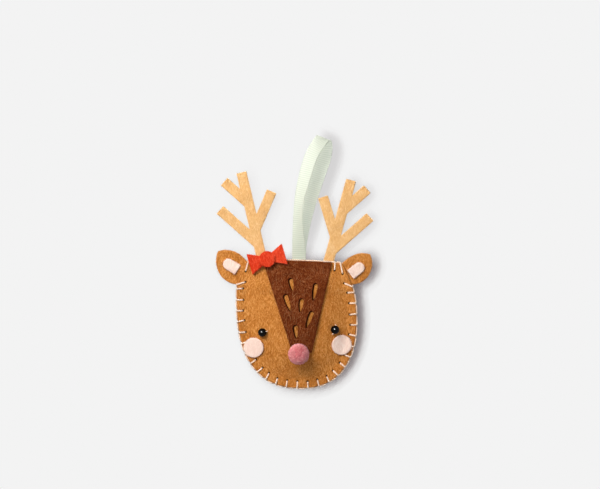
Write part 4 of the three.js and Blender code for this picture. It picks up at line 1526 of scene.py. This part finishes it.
@dataclass
class Face:
    """The pieces sewn on the front: blaze, cheeks, nose and eyes.

    Args:
        nose: the pom-pom.
        cheeks: where the cheeks are.
        cheek_radius: their radius.
        patch_top: x of the blaze's top corners, right to left.
        patch_foot: its foot's corners, left to right.
        slot_width: width of its slots.
        slot_lean: how far their walls slant to the back, because the photograph shows the upper left ones;
            these walls carry painted shade.
        slots: the round top and the point of each.
    """

    nose: Pompom = Pompom()
    cheeks: tuple[tuple[Side, Place], ...] = ((Side.LEFT, (-30.3, -60.8)), (Side.RIGHT, (31.2, -58.9)))
    cheek_radius: float = 6.9
    patch_top: Place = (24.4, -23.8)
    patch_foot: tuple[Place, Place] = ((-3.2, -63.8), (10.2, -63.8))
    slot_width: float = 3.1
    slot_lean: Place = (0.95, -0.6)
    slots: tuple[tuple[Place, Place], ...] = (
        ((-4.8, -12.3), (-3.1, -21.1)),
        ((13.1, -15.8), (10.9, -27.7)),
        ((-8.5, -23.4), (-4.6, -35.4)),
        ((3.1, -26.3), (2.0, -35.9)),
        ((10.4, -35.0), (6.0, -46.8)),
        ((-1.4, -44.6), (-0.5, -54.2)),
    )

    # A slot's sides as shares of its length and of its half width
    SLOT_SIDES = np.array([(0.4, 0.98), (0.62, 0.8), (0.84, 0.42)])

    @staticmethod
    def over(x: Array, z: Array, h: Array) -> Array:
        """Args: x, z, height through the felt. Returns: y of a piece that lies on the face."""
        return -(HEAD.depth(x, z, HEAD.front_puff) + (FELT + REST_GAP) + h)

    def slot_loop(self, top: Place, point: Place) -> Array:
        """A slot's outline: half a circle, then two sides that draw together to a point.

        Args:
            top: the middle of the round top.
            point: the point.
        Returns:
            The outline in x and z.
        """
        length, half = math.dist(top, point), self.slot_width / 2
        way = (np.array(point) - np.array(top)) / length
        turn = np.linspace(0, math.pi, 12)
        head = half * np.stack([1 - np.sin(turn), np.cos(turn)], 1)
        sides = self.SLOT_SIDES * (length, half)
        down, aside = np.vstack([head, sides * (1, -1), (length, 0.0), sides[::-1]]).T[..., None]
        return np.array(top) + down * way + aside * np.array([-way[1], way[0]])

    def patch(self) -> None:
        """Adds the blaze with its slots, its top flush with the head's edge."""
        x = np.linspace(*self.patch_top, 40)
        top = np.stack([x, -HEAD.top_drop(x + HEAD.skew * HEAD.skew_level)], 1)
        loops = [np.vstack([top, *self.patch_foot]), *[self.slot_loop(*slot) for slot in self.slots]]
        felt_piece("forehead_patch", loops, self.over, Slot.BROWN, seed=21, lean=self.slot_lean)

    def build(self) -> None:
        """Adds every piece on the face."""
        self.patch()
        for side, at in self.cheeks:
            loop = arc(at, self.cheek_radius, 0, 360, 90)[:-1]
            felt_piece(f"cheek_{side.word}", [loop], self.over, Slot.PINK, seed=30 + side.value)
        self.nose.build()
        for eye in EYES:
            eye.build()


@dataclass(frozen=True)
class Ear:
    """An ear sewn into the seam, with its lining. Places are from the middle of the ear cut, outwards and up.

    Args:
        side: which ear.
        tip: its tip.
        top_bend: the two control points of the edge above the tip.
        low_bend: the two control points of the edge below it.
        lining_foot: the middle of the lining's flat end.
        lining_turn: the turn of the lining from level, in degrees.
        lining_half: half the lining's width.
        lining_length: its length.
        curl_by: how far the ear curls back, by the square of the way out.
        curl_at: how far out that is reached.
        uneven: how far its felt is uneven.
    """

    side: Side
    tip: Place
    top_bend: tuple[Place, Place]
    low_bend: tuple[Place, Place]
    lining_foot: Place
    lining_turn: float
    lining_half: float = 3.75
    lining_length: float = 11.4
    curl_by: float = 0.9
    curl_at: float = 17.0
    uneven: float = 0.1

    @property
    def anchor(self) -> Array:
        """Returns: the middle of the ear cut."""
        return (HEAD.corner(self.side) + HEAD.cut_foot(self.side)) / 2

    def put(self, place: Place) -> Array:
        """Args: a place outwards and up from the ear cut. Returns: the place in x and z."""
        return self.anchor + np.array(place) * (self.side.value, 1)

    def curl(self, x: Array, z: Array) -> Array:
        """Args: x, z. Returns: how far the ear curls back there."""
        out = np.clip(self.side.value * (x - self.anchor[0]), 0, None)
        uneven = self.uneven * Ripple(60 + self.side.value, 9.0)(x, z)
        return self.curl_by * (out / self.curl_at) ** 2 + uneven

    def leaf(self, x: Array, z: Array, h: Array) -> Array:
        """Args: x, z, height through the felt. Returns: y of the ear."""
        return FELT / 2 - h + self.curl(x, z)

    def lining(self, x: Array, z: Array, h: Array) -> Array:
        """Args: x, z, height through the felt. Returns: y of the lining, which lies on the ear."""
        return -(FELT / 2 + REST_GAP) - h + self.curl(x, z)

    def build(self) -> None:
        """Adds the ear and its lining."""
        sign = self.side.value
        top, foot, tip = HEAD.corner(self.side), HEAD.cut_foot(self.side), self.put(self.tip)
        cut = unit(foot - top)
        root = ROOT_DEPTH * sign * np.array([cut[1], -cut[0]])
        upper = cubic(top, *map(self.put, self.top_bend), tip)
        lower = cubic(tip, *map(self.put, self.low_bend), foot)[1:]
        outline = np.vstack([top + root, upper, lower, foot + root])
        felt_piece(f"ear_{self.side.word}", [outline], self.leaf, Slot.CAMEL, seed=40 + sign)
        half = self.lining_half
        arch = np.vstack([(0, -half), arc((self.lining_length - half, 0), half, -90, 90), (0, half)])
        plan = turned(arch, self.lining_turn) * (sign, 1) + self.put(self.lining_foot)
        felt_piece(f"ear_lining_{self.side.word}", [plan], self.lining, Slot.PINK, seed=50 + sign)


EARS = (
    Ear(
        Side.LEFT,
        tip=(16.8, 15.1),
        top_bend=((2.0, 15.2), (9.5, 17.2)),
        low_bend=((21, 5.5), (15.5, -7.5)),
        lining_foot=(2.8, 2.05),
        lining_turn=31.0,
    ),
    Ear(
        Side.RIGHT,
        tip=(16.3, 13.6),
        top_bend=((2.4, 13.5), (9.9, 16.0)),
        low_bend=((20.4, 5.2), (15.4, -7.3)),
        lining_foot=(2.45, -0.45),
        lining_turn=38.0,
    ),
)


@dataclass(frozen=True)
class Antler:
    """A flat felt antler sewn into the seam.

    Args:
        side: which antler.
        inset: its foot from the head's top corner.
        lean: its lean outwards, in degrees.
        raise_by: how much higher its tines start.
        outer_spread: the outer tines' turn from the beam, in degrees.
        inner_spread: the inner tine's turn from it.
        half: half the width of its strips.
        beam: the beam's length.
        low: where the low outer tine leaves the beam, and its length.
        inner: the same of the inner tine.
        high: the same of the high outer tine.
        wave: how far the felt waves.
    """

    side: Side
    inset: float
    lean: float
    raise_by: float
    outer_spread: float
    inner_spread: float
    half: float = 3.55
    beam: float = 59.6
    low: Place = (8.1, 36.0)
    inner: Place = (18.1, 29.5)
    high: Place = (37.2, 23.1)
    wave: float = 0.35

    # Heights between which the wave begins
    WAVE_FROM = (4, 20)

    def tine(self, at: float, length: float, spread: float) -> list[Array]:
        """The four corners where a tine leaves and meets the beam's edge, for a tine that leans to +x.

        Args:
            at: where the tine's middle line leaves the beam's.
            length: the tine's length along that line.
            spread: its turn from the beam, in degrees.
        Returns:
            The lower root, lower tip, upper tip and upper root.
        """
        a = math.radians(spread)
        way, across = np.array([math.sin(a), math.cos(a)]), np.array([math.cos(a), -math.sin(a)])
        start = np.array([0, at + self.raise_by])
        low, high = start + self.half * across, start - self.half * across
        low_root, high_root = (p + way * ((self.half - p[0]) / way[0]) for p in (low, high))
        return [low_root, low + way * length, high + way * length, high_root]

    def outline(self) -> Array:
        """Returns: the antler's outline with its foot at the origin, outer side to +x."""
        half, top = self.half, self.beam + self.raise_by
        outer = [p for sizes in (self.low, self.high) for p in self.tine(*sizes, self.outer_spread)]
        inner = [p * (-1, 1) for p in self.tine(*self.inner, self.inner_spread)[::-1]]
        rise = [(half, -ROOT_DEPTH), *outer, (half, top)]
        fall = [(-half, top), *inner, (-half, -ROOT_DEPTH)]
        return np.array([*rise, *fall])

    def lift(self, x: Array, z: Array, h: Array) -> Array:
        """Args: x, z, height through the felt. Returns: y, which waves above the seam."""
        wave = Ripple(70 + self.side.value, 30.0)(x, z)
        return FELT / 2 - h + self.wave * wave * smoothstep(z, *self.WAVE_FROM)

    def build(self) -> None:
        """Adds the antler."""
        sign = self.side.value
        foot = HEAD.corner(self.side) - np.array([sign * self.inset, 0])
        plan = turned(self.outline(), -self.lean) * (sign, 1) + foot
        felt_piece(f"antler_{self.side.word}", [plan], self.lift, Slot.GOLD, seed=80 + sign)


ANTLERS = (
    Antler(Side.LEFT, inset=11.2, lean=13.4, raise_by=4.0, outer_spread=35.0, inner_spread=36.5),
    Antler(Side.RIGHT, inset=10.0, lean=15.6, raise_by=0.8, outer_spread=33.0, inner_spread=32.5),
)


@dataclass(frozen=True)
class Bow:
    """The felt bow at the left antler's foot.

    Args:
        at: its middle.
        tilt: its turn from level, in degrees.
        half: half its length.
        end: half its width at the ends.
        waist: half its width, and half the length, of its waist.
        knot_radius: the knot's radius.
        tail_bend: how far the ends stand forward, by the square of the way out.
        knot_bend: how far the knot's edge lies back, in the same way.
    """

    at: Place = (-20.8, 1.0)
    tilt: float = 16.4
    half: float = 12.8
    end: float = 7.5
    waist: float = 3.0
    knot_radius: float = 5.6
    tail_bend: float = 0.5
    knot_bend: float = 0.25

    # How far from the seam plane it lies, over the panel and the blaze, and the knot over the tails
    TAIL_GAP, KNOT_GAP = 0.22, 0.1
    BASE = FELT / 2 + OPEN_GAP + 2 * FELT + REST_GAP + TAIL_GAP
    KNOT_BASE = BASE + FELT + KNOT_GAP

    def tails(self, x: Array, z: Array, h: Array) -> Array:
        """Args: x, z, height through the felt. Returns: y of the tails."""
        tilt = math.radians(self.tilt)
        out = (x - self.at[0]) * math.cos(tilt) + (z - self.at[1]) * math.sin(tilt)
        return -self.BASE - h - self.tail_bend * (out / self.half) ** 2

    def knot(self, x: Array, z: Array, h: Array) -> Array:
        """Args: x, z, height through the felt. Returns: y of the knot."""
        out = np.hypot(x - self.at[0], z - self.at[1]) / self.knot_radius
        return -self.KNOT_BASE - h + self.knot_bend * out**2

    def build(self) -> None:
        """Adds the bow's waisted tails and its round knot."""
        half, end, waist = self.half, self.end, self.waist
        upper = np.array([(-half, end), (-waist, waist), (waist, waist), (half, end)])
        plan = turned(np.vstack([upper, -upper]), self.tilt) + np.array(self.at)
        felt_piece("bow_tails", [plan], self.tails, Slot.RED, seed=91)
        disc = arc(self.at, self.knot_radius, 0, 360, 80)[:-1]
        felt_piece("bow_knot", [disc], self.knot, Slot.RED, seed=92)


# Each point is x, y and z, the turn of the ribbon's width about Y and the twist that brings its right side
# forward.
RIBBON_ROUTE = (
    (1.2, -1.9, 11, 0, 16),
    (0.8, -3.9, 20, -1, 36),
    (0.6, -5.6, 31, -3, 48),
    (1.6, -6.9, 42.5, -8, 46),
    (4.3, -7.4, 54, -14, 32),
    (7.0, -7.0, 64, -18, 22),
    (10.8, -6.0, 74.5, -21, 16),
    (14.6, -4.6, 80.9, -23, 8),
    (17.5, -2.8, 84.7, -23.6, 0),
    (18.6, 0, 85.95, -23.6, 0),
    (19.3, 2.8, 84.6, -22, 0),
    (20.2, 4.6, 80.5, -19, 0),
    (19.4, 5.3, 73, -17, 0),
    (16.0, 5.4, 62.6, -16, 0),
    (12.4, 5.2, 52, -17, 0),
    (8.5, 4.6, 40.2, -17, 0),
    (5.4, 3.6, 28.4, -12, 0),
    (3.2, 2.5, 18, -7, 0),
    (1.8, 1.4, 10, -3, 0),
)


@dataclass
class Ribbon:
    """The folded grosgrain loop, one strip from the seam round to the seam.

    Args:
        rib: pitch of its ribs. A real rib is about 0.6 mm; these are as coarse as it takes for them to show.
        across: points across a face of it.
        x: where it leaves the seam.
        offset: how far its two ends lie from the seam plane.
        flex_height: height of the hinge over the seam.
        flex_half: not used.
        flex_rise: how far above the hinge its ends stay straight.
        rib_height: height of a rib.
        edge_height: height of the woven edge.
        cup: how far the edges stand out from the middle.
        fray: how much a rib widens the strip, as a share of its width.
    """

    rib: float = 1.45
    across: int = 15
    x: float = 1.4
    offset: float = 0.4
    flex_height: float = 2.8
    flex_half: float = 3.0
    flex_rise: float = 0.925
    rib_height: float = 0.05
    edge_height: float = 0.04
    cup: float = 0.18
    fray: float = 0.003

    # Sections to a rib and between points of the declared path, and where the woven edge begins and ends
    RIB_STEPS, PATH_STEP = 12, 6
    EDGE_FROM = (0.86, 1.0)
    # Painted shade: the tone between the ribs
    LEAST_TONE = 0.1

    def route(self) -> Array:
        """Returns: the strip's middle line as x, y and z, with the turn and twist of its width in degrees."""
        heights = (-ROOT_DEPTH, 0, self.flex_height + self.flex_rise)
        rise = [(self.x, -self.offset, z, 0, 0) for z in heights]
        fall = [(self.x, self.offset, z, 0, 0) for z in heights[::-1]]
        return np.array([*rise, *RIBBON_ROUTE, *fall], float)

    def build(self) -> None:
        line, s = spline(self.route(), self.rib / self.RIB_STEPS)
        centre, turn, twist = line[:, :3], np.radians(line[:, 3]), np.radians(line[:, 4:])
        tangent = unit(np.gradient(centre, axis=0))
        wide = np.stack([np.cos(turn), np.zeros_like(turn), np.sin(turn)], 1)
        wide = unit(wide - tangent * (wide * tangent).sum(1, keepdims=True))
        wide = wide * np.cos(twist) - np.cross(tangent, wide) * np.sin(twist)
        thick = np.cross(tangent, wide)
        u = np.linspace(-1, 1, self.across)
        rib = 0.5 + 0.5 * np.cos(2 * math.pi * s / self.rib)
        edge = self.edge_height * smoothstep(np.abs(u), *self.EDGE_FROM)
        height = RIBBON_THICKNESS / 2 - self.rib_height + self.rib_height * rib[:, None] + edge
        cup = self.cup * u**2
        reach = RIBBON_WIDTH / 2 * (1 + self.fray * rib)[:, None] * u
        base = centre[:, None] + reach[..., None] * wide[:, None]
        front = base + (cup + height)[..., None] * thick[:, None]
        back = base + (cup - height)[..., None] * thick[:, None]
        rings = np.concatenate([front, back[:, ::-1]], 1)
        rows, columns = rings.shape[:2]
        faces = [face[:, ::-1] for face in (quads(rows, columns), *caps(rows, columns))]
        # The ribs' tone, darker between them, is painted shade.
        values = {"tone": np.repeat(self.LEAST_TONE + (1 - self.LEAST_TONE) * rib, columns)}
        nodes = ["ribbon_loop", "ribbon_stub"]
        obj = make("grosgrain_loop", rings.reshape(-1, 3), faces, Slot.RIBBON, nodes, None, values)
        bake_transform(obj)
        LOG.info("ribbon length %.1f mm", s[-1])


@dataclass(frozen=True)
class Lamp:
    """A round area light, in metres, that is aimed at the ornament.

    Args:
        name: its name.
        place: where it stands.
        size: its diameter.
        power: its power in watts.
        tint: its colour, sRGB hex.
        glints_only: whether it shows only as a glint in glossy pieces.
    """

    name: str
    place: tuple[float, float, float]
    size: float
    power: float
    tint: str = "#ffffff"
    glints_only: bool = False

    AIM = Vector((-0.017, 0, -0.1))

    def build(self) -> None:
        """Adds the light."""
        data = bpy.data.lights.new(self.name, "AREA")
        data.shape = "DISK"
        data.size = self.size
        data.energy = self.power
        data.color = linear(self.tint)[:3]
        obj = bpy.data.objects.new(self.name, data)
        obj.location = self.place
        obj.rotation_euler = (self.AIM - Vector(self.place)).to_track_quat("-Z", "Y").to_euler()
        obj.visible_diffuse = not self.glints_only
        obj.visible_transmission = not self.glints_only
        bpy.context.scene.collection.objects.link(obj)


@dataclass(frozen=True)
class Studio:
    """Camera, lights, backdrop and colour management, in metres in the row frame.

    Args:
        lamps: one from the upper left, one behind that shines through the ribbon, and one for the beads.
    """

    lamps: tuple[Lamp, ...] = (
        Lamp("key", (-0.4, -0.66, 0.37), 0.52, 9.1, "#fffaf2"),
        Lamp("back", (0.3, 1.1, 0.7), 0.8, 15.0),
        Lamp("catch", (-0.3, -0.95, 0.25), 0.4, 105.0, glints_only=True),
    )

    CAMERA_AT, LENS_MM, SENSOR_MM = (-0.0171, -0.992, -0.0743), 85, 36
    SEEN_COLOUR, LIT_COLOUR, LIT_STRENGTH = "#f3f3f3", "#fbfaf8", 0.47
    CLEAR = (1, 1, 1, 1)
    # The card's half width, lower and upper edge, distance behind the seam and lean
    CARD_HALF, CARD_LOW, CARD_HIGH, CARD_BEHIND, CARD_LEAN = 0.3, -0.35, 0.2, 0.0098, 0.025
    # Its shadow: the side that the light comes from, and each layer's reach for what hides it, with its fall
    OPEN_SIDE, SAMPLES = (-0.93, -0.28, 0.22), {"samples": 16}
    LAYERS = (
        (0.0106, ((0.86, "#9a9293"), (0.92, "#b5aeaf"), (0.96, "#d5d1d1"), (1.0, "#ffffff"))),
        (0.0135, ((0.78, "#cdc8c9"), (0.9, "#eae8e8"), (1.0, "#ffffff"))),
    )
    # Heights between which the shadow thickens, from the ribbon's to the head's, and its strength
    SHADOW_RISE = {"from_min": -0.074, "from_max": -0.09, "to_min": 0.32, "to_max": 1.0}

    def camera(self) -> None:
        """Adds the camera, square on to the face."""
        data = bpy.data.cameras.new("main_camera")
        data.lens, data.sensor_width = self.LENS_MM, self.SENSOR_MM
        obj = bpy.data.objects.new("main_camera", data)
        obj.location = self.CAMERA_AT
        obj.rotation_euler = (math.radians(90), 0, 0)
        bpy.context.scene.collection.objects.link(obj)
        bpy.context.scene.camera = obj

    def world(self) -> None:
        """Sets a pale backdrop, for what is seen, mirrored or seen through pieces, and an even light."""
        t = Tree(bpy.data.worlds.new("pale_world"))
        bpy.context.scene.world = t.owner
        path = t.add("LightPath").outputs
        either = {"operation": "MAXIMUM"}
        direct = t.add("Math", path["Is Camera Ray"], path["Is Glossy Ray"], settings=either)
        seeing = t.add("Math", direct, path["Is Transmission Ray"], settings=either)
        seen = t.nodes["Background"]
        t.feed(seen, color=linear(self.SEEN_COLOUR), strength=1.0)
        lit = t.add("Background", color=linear(self.LIT_COLOUR), strength=self.LIT_STRENGTH)
        t.feed(t.nodes["World Output"], surface=t.add("MixShader", seeing, lit, seen))

    def card(self) -> None:
        """Adds a clear card behind the ornament, dark only where the ornament keeps the light off it."""
        t = Tree(bpy.data.materials.new("shadow_card"))
        normal = t.add("CombineXYZ", *self.OPEN_SIDE)
        shades = []
        for reach, fall in self.LAYERS:
            sky = t.add("AmbientOcclusion", distance=reach, normal=normal, settings=self.SAMPLES)
            shades.append(t.add("ValToRGB", sky.outputs["AO"], stops=fall))
        height = t.add("SeparateXYZ", t.add("TexCoord").outputs["Object"]).outputs["Z"]
        thick = t.add("MapRange", value=height, **self.SHADOW_RISE)
        full = t.add("MixRGB", 1.0, *shades, settings={"blend_type": "MULTIPLY"})
        shade = t.add("MixRGB", thick, self.CLEAR, full)
        behind = t.add("NewGeometry").outputs["Backfacing"]
        tint = t.add("MixRGB", behind, shade, self.CLEAR)
        t.feed(t.nodes["Material Output"], surface=t.add("BsdfTransparent", color=tint))
        t.nodes.remove(t.nodes["Principled BSDF"])
        mesh = bpy.data.meshes.new("shadow_card")
        # Its right-hand side stands a little forward, so that it is clear, not edge on, from that side.
        half, low, high = self.CARD_HALF, self.CARD_LOW, self.CARD_HIGH
        left, right = (self.CARD_BEHIND + side * half * self.CARD_LEAN for side in (1, -1))
        corners = [(-half, left, low), (half, right, low), (half, right, high), (-half, left, high)]
        mesh.from_pydata(corners, [], [(0, 1, 2, 3)])
        mesh.materials.append(t.owner)
        obj = bpy.data.objects.new("shadow_card", mesh)
        bpy.context.scene.collection.objects.link(obj)
        for kind in ("diffuse", "glossy", "transmission", "shadow"):
            setattr(obj, f"visible_{kind}", False)
        obj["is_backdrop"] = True

    def build(self) -> None:
        """Sets the whole studio."""
        self.camera()
        for lamp in self.lamps:
            lamp.build()
        self.world()
        self.card()
        bpy.context.scene.view_settings.view_transform = "Standard"


def main() -> None:
    """Builds the ornament's looks and the studio."""
    logging.basicConfig(level=logging.INFO)
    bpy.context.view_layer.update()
    for part in (Panels(), Stitching(), Face(), *EARS, *ANTLERS, Bow(), Ribbon(), Studio()):
        part.build()
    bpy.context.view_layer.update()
    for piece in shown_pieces():
        LOG.info("%s: %d faces", piece.name, len(piece.data.polygons))


if __name__ == "__main__":
    main()
